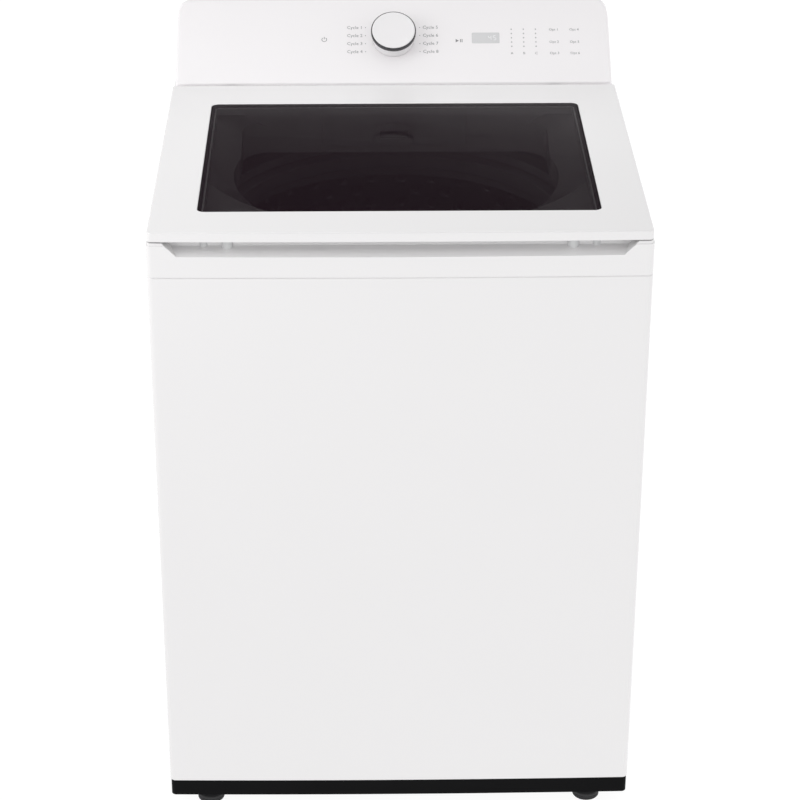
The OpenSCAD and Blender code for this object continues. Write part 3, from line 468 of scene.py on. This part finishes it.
def lid_skin():
    """The lid's pressed skin: soft outer edges, side walls, and a rolled edge round the glass."""
    half = lid_hi.x
    top, bottom = lid_hi.z, lid_hi.z - LID_T
    edge = 2 * MM
    skin = 3 * MM

    def rim(inset, z):
        return [(x, y, z) for x, y in plan_outline(half, HINGE_Y, 0.05 * MM, inset, 0.0)]

    def inner_rim(inset, z):
        return [(x, y, z) for x, y in plan_outline(half, HINGE_Y, 0.05 * MM, inset, 13 * MM)]

    def window(inset, z):
        return [(x, y, z) for x, y in window_outline(inset)]

    loops = [rim(0.8 * MM, bottom), rim(0, bottom + 0.8 * MM)]
    loops += [rim(inset, top - drop) for inset, drop in rounding(edge, 6)]
    loops += [rim(edge + 4 * MM, top)]
    loops += [window(-2.6 * MM, top), window(-1.6 * MM, top)]
    loops += [window(-0.9 * MM, top - 0.25 * MM), window(-0.4 * MM, top - 0.9 * MM)]
    loops += [window(-0.4 * MM, top - skin)]
    loops += [inner_rim(skin, top - skin), inner_rim(skin, bottom)]
    verts, faces = loft(loops + loops[:1], caps=False)
    return verts, faces


def lid_nose():
    """The bar along the lid's back edge, notched under its skin for the two hinge lugs."""
    notch = 9 * MM
    hinge_x = 250 * MM
    edge = 3 * MM
    half = lid_hi.x
    chord = math.degrees(math.asin((NOSE_R - 3 * MM) / NOSE_R))

    def section(x, r):
        return [(x, HINGE_Y + y, HINGE_Z + z) for y, z in arc(0, 0, r, 0, 345, 23)]

    def cap_section(x):
        return [(x, HINGE_Y + y, HINGE_Z + z) for y, z in arc(0, 0, NOSE_R, chord, 180 - chord, 12)]

    turns = [math.pi / 2 * i / 6 for i in range(7)]
    rounded_end = [(half - edge + edge * math.sin(a), NOSE_R - edge + edge * math.cos(a)) for a in turns]
    left = [section(-x, r) for x, r in reversed(rounded_end)] + [section(-hinge_x - notch, NOSE_R)]
    middle = [section(x, NOSE_R) for x in (-hinge_x + notch, 0, hinge_x - notch)]
    right = [section(hinge_x + notch, NOSE_R)] + [section(x, r) for x, r in rounded_end]
    caps = [loft([cap_section(side * hinge_x - notch), cap_section(side * hinge_x + notch)])
            for side in (-1, 1)]
    return merged(loft(left), loft(middle), loft(right), *caps)


def lid_pieces():
    frame_piece = make_object("lid_shell", merged(lid_skin(), lid_nose()))
    finish_piece(frame_piece, "lid", "white_enamel", "lid_frame")
    mid = (glass_lo + glass_hi) / 2
    half = (glass_hi - glass_lo) / 2
    plate = soft_plate(mid.x, mid.y, half.x, half.y, 10 * MM, glass_lo.z, glass_hi.z, 0.8 * MM)
    finish_piece(make_object("lid_glass_pane", plate), "lid", "tinted_glass", "lid_glass")


# ---------------------------------------------------------------- Console

def console_section(x, inset, top_z, bottom_z, back_y):
    """Side profile of the console: front wall, soft fold, sloped face, round nose and flat top.

    Profiles at different insets have their points in step.
    """
    fold_r = 2.5 * MM
    nose_r = 9 * MM - inset
    wall_y = console_lo.y + inset
    fold_z = FACE_ORIGIN.z - inset * math.cos(SLOPE) + inset * math.sin(SLOPE) * math.tan(SLOPE)
    fold = Vector((wall_y, fold_z))
    nose_z = top_z - 9 * MM
    rise = nose_z - FACE_ORIGIN.z + 9 * MM * math.cos(SLOPE)
    nose_y = console_lo.y + rise / math.tan(SLOPE) + 9 * MM * math.sin(SLOPE)
    # The fold's circle touches the wall and the face
    reach = fold_r * math.tan((math.pi / 2 - SLOPE) / 2)
    centre_y, centre_z = wall_y + fold_r, fold.y - reach
    points = [(wall_y, bottom_z)]
    points += arc(centre_y, centre_z, fold_r, 180, 90 + math.degrees(SLOPE), 6)
    points += arc(nose_y, nose_z, nose_r, 90 + math.degrees(SLOPE), 90, 10)
    points += [(back_y, nose_z + nose_r), (back_y, bottom_z)]
    return [(x, y, z) for y, z in points]


def console_stations():
    """(x, inset, drop of the top) across the console: soft ends, and a large radius at both top corners."""
    half = console_hi.x
    corner = 20 * MM
    edge = 5 * MM
    stations = []
    for i in range(25):
        a = math.pi / 2 * i / 24
        x = half - corner * (1 - math.cos(a)) if i else half
        along_edge = max(0.0, (x - (half - edge)) / edge)
        inset = edge * (1 - math.sqrt(max(0.0, 1 - along_edge ** 2)))
        drop = corner * (1 - math.sin(a))
        stations.append((x, inset, drop))
    left = [(-x, inset, drop) for x, inset, drop in stations]
    return left + [(0.0, 0.0, 0.0)] + stations[::-1]


def console_pieces():
    wall = 3 * MM
    top = console_hi.z
    outer = [console_section(x, inset, top - drop, console_lo.z, console_hi.y)
             for x, inset, drop in console_stations()]
    shell = make_object("console_shell", loft(outer), 30)
    solidify_open(shell, wall)
    cutter_knob = make_object("cut_knob", placed(lathe([(0, -12 * MM), (9 * MM, -12 * MM), (9 * MM, 12 * MM),
                                                        (0, 12 * MM)], 48), on_face(*KNOB_AT)))
    window = soft_plate(0, 0, 21.5 * MM, 10 * MM, 1.5 * MM, -12 * MM, 12 * MM, 0.01 * MM)
    cutter_window = make_object("cut_window", placed(window, on_face(*WINDOW_AT)))
    carve(shell, cutter_knob, cutter_window)
    finish_piece(shell, "cabinet", "white_gloss", "console_panel")


def solidify_open(obj, wall):
    """Turns a closed lump into a shell that is open underneath and at the back."""
    bm = bmesh.new()
    bm.from_mesh(obj.data)
    low, back = console_lo.z, console_hi.y
    gone = [f for f in bm.faces
            if all(abs(v.co.z - low) < 1e-5 for v in f.verts)
            or all(abs(v.co.y - back) < 1e-5 for v in f.verts)]
    bmesh.ops.delete(bm, geom=gone, context="FACES")
    bm.to_mesh(obj.data)
    bm.free()
    thick = obj.modifiers.new("wall", "SOLIDIFY")
    thick.thickness = wall
    thick.offset = -1
    thick.use_even_offset = True
    apply_modifiers(obj)


def carve(obj, *cutters):
    for cutter in cutters:
        cut = obj.modifiers.new("cut", "BOOLEAN")
        cut.object = cutter
        cut.operation = "DIFFERENCE"
        cut.solver = "EXACT"
    apply_modifiers(obj)
    for cutter in cutters:
        bpy.data.objects.remove(cutter)
    obj.data.polygons.foreach_set("use_smooth", [True] * len(obj.data.polygons))
    obj.data.set_sharp_from_angle(angle=math.radians(30))


def apply_modifiers(obj):
    """Replaces the mesh with what its modifiers make of it."""
    depsgraph = bpy.context.evaluated_depsgraph_get()
    evaluated = obj.evaluated_get(depsgraph)
    obj_mesh = bpy.data.meshes.new_from_object(evaluated)
    obj.modifiers.clear()
    obj.data = obj_mesh


# ---------------------------------------------------------------- Knob and display

def knob_pieces():
    cap = [(0, 25.6), (20, 25.7), (27, 26.1), (30.5, 26.8), (32, 27), (33, 26.7), (33.4, 26), (33.4, 19.2),
           (32.4, 19), (32.3, 18), (32.4, 8), (32.5, 1.6), (32.3, 0.9), (31.8, 0.5), (0, 0.5)]
    profile = [(r * MM, z * MM) for r, z in cap]
    knob = make_object("knob_cap", placed(lathe(profile, 128), on_face(*KNOB_AT)), 40)
    finish_piece(knob, "knob", "white_gloss", "cycle_knob", material=KNOB_WHITE)
    band = [(33.5, 19.0), (34.6, 19.0), (35, 19.4), (35, 25.4), (34.6, 26), (33.5, 26)]
    outline = [(r * MM, z * MM) for r, z in band]
    ring = make_object("knob_band", placed(lathe(outline, 128), on_face(*KNOB_AT)), 40)
    finish_piece(ring, "knob", "chrome_trim", "knob_trim_ring")
    stem = [(0, -20), (2.6, -20), (3, -19.6), (3, 1), (0, 1)]
    shaft = lathe([(r * MM, z * MM) for r, z in stem], 32)
    finish_piece(make_object("knob_shaft", placed(shaft, on_face(*KNOB_AT))), "knob", "black_plastic")


def seven_segment(x, s, digit, height=8.0):
    """One digit of the display, as slim bars just proud of its window."""
    width = height * 0.5
    bar = height * 0.06
    lit = {"1": "bc", "5": "afgcd", "2": "abged", "4": "fgbc", "0": "abcdef"}[digit]
    centres = {
        "a": (0, height / 2, True), "g": (0, 0, True), "d": (0, -height / 2, True),
        "b": (width / 2, height / 4, False), "c": (width / 2, -height / 4, False),
        "f": (-width / 2, height / 4, False), "e": (-width / 2, -height / 4, False),
    }
    parts = []
    for name in lit:
        dx, ds, flat = centres[name]
        half_x = (width / 2 - bar if flat else bar) * MM
        half_s = (bar if flat else height / 4 - bar) * MM
        plate = soft_plate(0, 0, half_x, half_s, 0.3 * MM, 0, 0.06 * MM, 0.01 * MM)
        parts.append(placed(plate, on_face(x + dx, s + ds, 0.3)))
    return parts


def display_pieces():
    window = soft_plate(0, 0, 21.4 * MM, 9.9 * MM, 1.5 * MM, -2.5 * MM, 0.3 * MM, 0.25 * MM)
    finish_piece(make_object("display_lens", placed(window, on_face(*WINDOW_AT))), "cabinet", "display_grey",
                 "display_window")
    x, s = WINDOW_AT
    digits = merged(*seven_segment(x + 6.5, s, "4"), *seven_segment(x + 14, s, "5"))
    finish_piece(make_object("display_digits", digits), "cabinet", "display_grey", material=DIGIT_WHITE)


# Printing, in mm: how far above the console's face a mark begins, a mark ends and a word is centred
MARK_LIFT, MARK_TOP, WORD_LIFT = 0.02, 0.1, 0.06
# A mark's thickness, and the width of its softened edge
MARK_THICK, MARK_EDGE = 0.08, 0.01


def words(name, entries, size, align="LEFT", material=PRINT_GREY):
    """Printed words on the console's face; entries are (text, x, s)."""
    parts = []
    for text, x, s in entries:
        curve = bpy.data.curves.new(name, "FONT")
        curve.body = text
        curve.size = size * MM
        curve.align_x = align
        curve.align_y = "CENTER"
        curve.resolution_u = 2
        curve.extrude = 0.03 * MM
        holder = bpy.data.objects.new(name, curve)
        scene.collection.objects.link(holder)
        evaluated = holder.evaluated_get(bpy.context.evaluated_depsgraph_get())
        mesh = bpy.data.meshes.new_from_object(evaluated)
        points = [tuple(v.co) for v in mesh.vertices]
        faces = [tuple(p.vertices) for p in mesh.polygons]
        parts.append(placed((points, faces), on_face(x, s, WORD_LIFT)))
        bpy.data.objects.remove(holder)
        bpy.data.curves.remove(curve)
        bpy.data.meshes.remove(mesh)
    obj = make_object(name, merged(*parts))
    return finish_piece(obj, "cabinet", "white_gloss", material=material)


def marks(name, entries, material=PRINT_GREY):
    """Small printed plates on the console's face; entries are (x, s, half width, half height)."""
    parts = []
    for x, s, hx, hs in entries:
        corner = min(hx, hs) * 0.98 * MM
        plate = soft_plate(0, 0, hx * MM, hs * MM, corner, 0, MARK_THICK * MM, MARK_EDGE * MM)
        parts.append(placed(plate, on_face(x, s, MARK_LIFT)))
    return finish_piece(make_object(name, merged(*parts)), "cabinet", "white_gloss", material=material)


def console_prints():
    """Cycle words beside the knob, option words, column lights, and the start and power marks."""
    cycle_size, small_size = 8.0, 6.2
    left_x, right_x = -48, 46
    left_dot_x, right_dot_x = -43.5, 41.5
    cycle_rows = (102, 87, 72, 57)
    option_xs, option_rows = (244, 276), (97, 74, 53)
    column_xs, column_name_row = (185, 204, 223), 53
    light_rows = (98, 90, 82, 74, 66)
    words("cycle_words_left", [("Cycle %d" % (i + 1), left_x, s) for i, s in enumerate(cycle_rows)],
          cycle_size, "RIGHT")
    words("cycle_words_right", [("Cycle %d" % (i + 5), right_x, s) for i, s in enumerate(cycle_rows)],
          cycle_size)
    marks("cycle_dots", [(x, s, 0.7, 0.7) for x in (left_dot_x, right_dot_x) for s in cycle_rows])
    keys = [(x, s) for x in option_xs for s in option_rows]
    words("option_words", [("Opt %d" % (i + 1), x, s) for i, (x, s) in enumerate(keys)], small_size)
    words("column_words", [(name, x, column_name_row) for name, x in zip("ABC", column_xs)],
          small_size, "CENTER")
    marks("column_lights", [(x, s, 1.0, 1.0) for x in column_xs for s in light_rows])
    start_x, start_s = START_AT
    play = [(start_x - 3.5, start_s + 3), (start_x - 3.5, start_s - 3), (start_x + 1.5, start_s)]
    low = [tuple(on_face(x, s, MARK_LIFT).translation) for x, s in play]
    high = [tuple(on_face(x, s, MARK_TOP).translation) for x, s in play]
    triangle = loft([low, high])
    bar = soft_plate(0, 0, 0.6 * MM, 3 * MM, 0.2 * MM, 0, MARK_THICK * MM, MARK_EDGE * MM)
    bars = [placed(bar, on_face(start_x + dx, start_s, MARK_LIFT)) for dx in (4.0, 6.5)]
    finish_piece(make_object("start_mark", merged(triangle, *bars)), "cabinet", "white_gloss",
                 material=PRINT_GREY)
    gap = 35
    ring_outer = arc(0, 0, 4.2 * MM, 90 + gap, 450 - gap, 28)
    ring_inner = arc(0, 0, 3.3 * MM, 90 + gap, 450 - gap, 28)
    strip = list(ring_outer) + list(reversed(ring_inner))
    ring = loft([[(x, y, 0) for x, y in strip], [(x, y, MARK_THICK * MM) for x, y in strip]])
    stem = soft_plate(0, 2.8 * MM, 0.45 * MM, 2.2 * MM, 0.3 * MM, 0, MARK_THICK * MM, MARK_EDGE * MM)
    power = merged(placed(ring, on_face(*POWER_AT, MARK_LIFT)),
                   placed(stem, on_face(*POWER_AT, MARK_LIFT)))
    finish_piece(make_object("power_mark", power), "cabinet", "white_gloss", material=PRINT_GREY)


# ---------------------------------------------------------------- Washing parts

def basket_wall():
    """The basket's wall: a sheet with staggered drain holes in bands between pressed ribs."""
    lo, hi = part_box("wash_basket")
    radius = hi.x
    around, rows = 72, 24
    low, high = lo.z + 12 * MM, hi.z - 16 * MM
    hole = 0.30
    verts, faces, index = [], [], {}

    def vertex(u, z):
        key = (round(u % around, 4), round(z, 6))
        if key not in index:
            index[key] = len(verts)
            a = 2 * math.pi * u / around
            rib = 1.2 * MM * max(0.0, math.cos(2 * math.pi * u / (around / 12))) ** 6
            verts.append(((radius - rib) * math.cos(a), (radius - rib) * math.sin(a), z))
        return index[key]

    step = (high - low) / rows
    for i in range(rows):
        for k in range(around):
            z0, z1 = low + i * step, low + (i + 1) * step
            zc = (z0 + z1) / 2
            rim = [(k, z0), (k + 0.5, z0), (k + 1, z0), (k + 1, zc),
                   (k + 1, z1), (k + 0.5, z1), (k, z1), (k, zc)]
            ring = [vertex(u, z) for u, z in rim]
            if (i + k) % 2 == 0 and k % 6:
                inner = []
                for turn in range(8):
                    a = math.radians(225 + 45 * turn)
                    inner.append(vertex(k + 0.5 + hole * 0.62 * math.cos(a), zc + hole * step * math.sin(a)))
                faces += [(ring[j], ring[(j + 1) % 8], inner[(j + 1) % 8], inner[j]) for j in range(8)]
            else:
                faces.append(tuple(ring))
    for z0, z1 in ((lo.z, low), (high, hi.z)):
        for k in range(2 * around):
            faces.append((vertex(k / 2, z0), vertex((k + 1) / 2, z0),
                          vertex((k + 1) / 2, z1), vertex(k / 2, z1)))
    obj = make_object("basket_wall", (verts, faces), 30)
    thick = obj.modifiers.new("wall", "SOLIDIFY")
    thick.thickness = 1.2 * MM
    thick.offset = -1
    apply_modifiers(obj)
    floor = lathe([(12 * MM, lo.z), (radius - 2 * MM, lo.z), (radius - 1.5 * MM, lo.z + 0.5 * MM),
                   (radius - 2 * MM, lo.z + 3 * MM), (12 * MM, lo.z + 3 * MM)], 144)
    floor_obj = make_object("basket_floor", floor)
    finish_piece(obj, "basket", "stainless_steel", "wash_basket")
    finish_piece(floor_obj, "basket", "stainless_steel")


def wash_plate():
    """The impeller: a low cone with six swept vanes that blend into it, and a domed cap."""
    lo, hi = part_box("impeller")
    outer = hi.x
    spokes, rings = 240, 44

    def height(r, a):
        share = r / outer
        base = 14 * MM * max(0.0, 1 - share) ** 1.4 + 5 * MM + 4 * MM * max(0.0, (share - 0.94) / 0.06) ** 2
        cap = 30 * MM * max(0.0, 1 - (r / (44 * MM)) ** 4)
        sweep = 0.35 * math.sin(share * math.pi * 0.9)
        wave = 0.5 + 0.5 * math.cos(6 * (a - sweep))
        along = max(0.0, min(1.0, (share - 0.14) / 0.16)) * max(0.0, min(1.0, (0.95 - share) / 0.2))
        vane = 20 * MM * wave ** 5 * along ** 0.7
        return base + max(cap, vane)

    loops = []
    for i in range(rings + 1):
        r = 10.5 * MM + (outer - 10.5 * MM) * i / rings
        turns = [2 * math.pi * k / spokes for k in range(spokes)]
        loops.append([(r * math.cos(a), r * math.sin(a), lo.z + min(height(r, a), hi.z - lo.z))
                      for a in turns])
    under = [[(x, y, lo.z + 0.5 * MM) for x, y, _ in loop] for loop in (loops[-1], loops[0])]
    cap = lathe([(0, hi.z - 1 * MM), (11 * MM, hi.z - 1 * MM), (12 * MM, hi.z - 2 * MM),
                 (12 * MM, hi.z - 12 * MM), (0, hi.z - 12 * MM)], 48)
    body = loft(loops + under + loops[:1], caps=False)
    finish_piece(make_object("wash_plate", merged(body, cap), 50), "wash_drive", "white_matte", "impeller")


def suspension_springs():
    """Four close wound springs in the CAD springs' place, drawn once at rest; they don't move with the tub."""
    lo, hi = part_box("suspension_springs")
    wire, coil, turns = 2 * MM, 14 * MM, 7
    steps = 24 * turns
    corner_x, corner_y = hi.x - coil - wire, hi.y - coil - wire
    parts = []
    for sx in (-1, 1):
        for sy in (-1, 1):
            path = []
            for i in range(steps + 1):
                a = 2 * math.pi * turns * i / steps
                rise = (hi.z - lo.z - 2 * wire) * i / steps
                path.append(Vector((sx * corner_x + coil * math.cos(a), sy * corner_y + coil * math.sin(a),
                                    lo.z + wire + rise)))
            parts.append(tube(path, wire, 10))
    obj = make_object("tub_springs", merged(*parts), 60)
    obj.data.materials.append(MATERIALS["bright_steel"])
    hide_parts("suspension_springs")
    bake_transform(obj)


def sump_hose():
    """The folded hose between the tub's sump and the pump."""
    lo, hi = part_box("sump_bellows")
    cx, cy = (lo.x + hi.x) / 2, (lo.y + hi.y) / 2
    folds = 6
    outer, inner = [], []
    steps = folds * 8
    for i in range(steps + 1):
        wave = 0.5 - 0.5 * math.cos(2 * math.pi * folds * i / steps)
        z = lo.z + (hi.z - lo.z) * i / steps
        outer.append(((20 + 3.8 * wave) * MM, z))
        inner.append(((18 + 3.8 * wave) * MM, z))
    part = placed(lathe(outer + inner[::-1], 64), Matrix.Translation((cx, cy, 0)))
    obj = make_object("sump_hose", part, 60)
    obj.data.materials.append(MATERIALS["rubber"])
    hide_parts("sump_bellows")
    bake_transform(obj)


# ---------------------------------------------------------------- Levelling feet

def levelling_feet():
    """Rubber pads under hexagons and threaded studs."""
    for corner in ("front_left", "front_right", "rear_left", "rear_right"):
        node = f"levelling_foot_{corner}"
        lo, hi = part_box(node)
        centre = Matrix.Translation(((lo.x + hi.x) / 2, (lo.y + hi.y) / 2, 0))
        pad = [(0, 0), (18.2, 0), (19.2, 0.5), (20, 1.6), (20, 3), (19.2, 3.6), (20, 4.2), (20, 5.8),
               (19.2, 6.4), (20, 7), (20, 9.8), (19, 11.4), (12, 14.6), (11, 15), (0, 15)]
        hexagon = [arc(0, 0, r * MM, 0, 300, 5) for r in (8.4, 9, 9, 8.4)]
        levels = (15, 15.6, 22.4, 23)
        nut = loft([[(x, y, z * MM) for x, y in ring] for ring, z in zip(hexagon, levels)])
        thread = [(0, 22)]
        pitch = 1.5
        crests = int((hi.z / MM - 24) / pitch)
        for i in range(crests):
            thread += [(4.3, 23 + pitch * i), (5, 23 + pitch * (i + 0.5))]
        thread += [(4.3, hi.z / MM - 0.8), (3.8, hi.z / MM), (0, hi.z / MM)]
        rubber = placed(lathe([(r * MM, z * MM) for r, z in pad], 64), centre)
        metal = placed(merged(nut, lathe([(r * MM, z * MM) for r, z in thread], 32)), centre)
        body = f"foot_{corner}"
        finish_piece(make_object(f"foot_pad_{corner}", rubber), body, "rubber", node)
        finish_piece(make_object(f"foot_stud_{corner}", metal, 20), body, "galvanised_steel")


# ---------------------------------------------------------------- CAD nodes that stay

# Edges sharper than this are softened; the rim of the deck's dish turns by 34 degrees
SOFT_ANGLE = math.radians(25)
BEVELS = {
    "top_cover": 0.7, "base_frame": 0.8, "console_rear_cover": 0.8, "lid_inner_frame": 1.2,
    "lid_bumpers": 0.8, "dispenser_drawer": 1.0, "balance_ring": 2.5, "tub_ring": 1.0, "rear_panel": 0.4,
    "dispenser_housing": 0.8, "lid_lock_housing": 0.6, "basket_hub": 1.5, "siphon_caps": 0.8,
}


def refine(node, width):
    """Softens a CAD node's edges with modifiers; its own mesh stays as it came."""
    obj = frame["nodes"][node]
    bpy.context.view_layer.objects.active = obj
    bpy.ops.mesh.customdata_custom_splitnormals_clear()
    obj.data.polygons.foreach_set("use_smooth", [True] * len(obj.data.polygons))
    weld = obj.modifiers.new("weld", "WELD")
    weld.merge_threshold = 0.01 * MM
    planar = obj.modifiers.new("planar", "DECIMATE")
    planar.decimate_type = "DISSOLVE"
    planar.angle_limit = math.radians(0.5)
    bevel = obj.modifiers.new("bevel", "BEVEL")
    bevel.width = width * MM
    bevel.segments = 2
    bevel.limit_method = "ANGLE"
    bevel.angle_limit = SOFT_ANGLE
    bevel.use_clamp_overlap = True
    even = obj.modifiers.new("even", "WEIGHTED_NORMAL")
    even.keep_sharp = True


def dress_cad_nodes():
    """Every CAD node that is still shown gets its slot's material; the ones in view get softened edges."""
    for part in frame["record"]["subparts"]:
        obj = frame["nodes"][part["node"]]
        if obj.hide_render:
            continue
        obj.data.materials.clear()
        obj.data.materials.append(MATERIALS[part["material_slot"]])
        if part["node"] in BEVELS:
            refine(part["node"], BEVELS[part["node"]])


# ---------------------------------------------------------------- Studio

FLOOR_HALF = 14.0
FLOOR_GLOW = 0.94
# Strength of the sky's light level with the floor, and straight overhead
SKY_HORIZON, SKY_ZENITH = 0.95, 0.74
# Each area light's name, place, target, width, depth and power
LIGHTS = (
    ("key", (-1.1, -0.5, 1.55), (0, 0.2, 1.0), 0.7, 0.7, 3.0),
    ("edge_strip", (0, -1.7, 2.6), (0, -0.3, 0.9), 3.2, 0.10, 3.0),
    ("lid_strip", (0, 0.12, 1.28), (0, -0.1, 0.95), 0.7, 0.05, 0.26),
)
# The camera, fitted to the photograph: angles in radians, place in metres
CAMERA_PITCH, CAMERA_HEADING = 0.4654, 0.0126
CAMERA_AT = (-0.058, -3.423, 2.277)
CAMERA_LENS = 112.0
CAMERA_SHIFT = (0.0173, -0.0337)


def studio():
    """A pale floor with a glow of its own, a plain sky and three area lights."""
    mat, nodes, links, shader = new_material("studio_floor")
    faint = noise(nodes, links, 2.0, 2.0)
    tint = ramp(nodes, links, faint.outputs["Fac"], (0.10, 0.10, 0.10), (0.12, 0.12, 0.12))
    links.new(tint.outputs["Color"], shader.inputs["Base Color"])
    shader.inputs["Roughness"].default_value = 0.6
    shader.inputs["Specular IOR Level"].default_value = 0.2
    shader.inputs["Emission Color"].default_value = (1, 1, 1, 1)
    shader.inputs["Emission Strength"].default_value = FLOOR_GLOW
    half = FLOOR_HALF
    corners = [(-half, -half, 0), (half, -half, 0), (half, half, 0), (-half, half, 0)]
    floor = make_object("studio_floor", (corners, [(0, 1, 2, 3)]))
    floor.data.materials.append(mat)

    world = bpy.data.worlds.new("studio")
    scene.world = world
    world.use_nodes = True
    background = world.node_tree.nodes["Background"]
    # The sky is dimmer overhead than round the sides
    sky = world.node_tree.nodes
    coords = sky.new("ShaderNodeTexCoord")
    split = sky.new("ShaderNodeSeparateXYZ")
    fade = sky.new("ShaderNodeMapRange")
    fade.inputs["To Min"].default_value = SKY_HORIZON
    fade.inputs["To Max"].default_value = SKY_ZENITH
    world.node_tree.links.new(coords.outputs["Generated"], split.inputs["Vector"])
    world.node_tree.links.new(split.outputs["Z"], fade.inputs["Value"])
    world.node_tree.links.new(fade.outputs["Result"], background.inputs["Strength"])
    background.inputs["Color"].default_value = (1, 1, 1, 1)

    for name, place, target, wide, deep, power in LIGHTS:
        data = bpy.data.lights.new(name, "AREA")
        data.shape = "RECTANGLE"
        data.size = wide
        data.size_y = deep
        data.energy = power
        lamp = bpy.data.objects.new(name, data)
        lamp.location = place
        lamp.rotation_euler = (Vector(target) - Vector(place)).to_track_quat("-Z", "Y").to_euler()
        scene.collection.objects.link(lamp)


def camera():
    """The viewpoint: above the front, looking down by nearly 27 degrees."""
    forward = Vector((math.sin(CAMERA_HEADING) * math.cos(CAMERA_PITCH),
                      math.cos(CAMERA_HEADING) * math.cos(CAMERA_PITCH),
                      -math.sin(CAMERA_PITCH)))
    right = Vector((math.cos(CAMERA_HEADING), -math.sin(CAMERA_HEADING), 0))
    up = right.cross(forward)
    data = bpy.data.cameras.new("camera")
    data.lens = CAMERA_LENS
    data.shift_x, data.shift_y = CAMERA_SHIFT
    cam = bpy.data.objects.new("camera", data)
    turn = Matrix((right, up, -forward)).transposed().to_4x4()
    cam.matrix_world = Matrix.Translation(CAMERA_AT) @ turn
    scene.collection.objects.link(cam)
    scene.camera = cam
    scene.view_settings.view_transform = "Standard"


cabinet_shell()
lid_pieces()
console_pieces()
knob_pieces()
display_pieces()
console_prints()
basket_wall()
wash_plate()
suspension_springs()
sump_hose()
levelling_feet()
dress_cad_nodes()
studio()
camera()
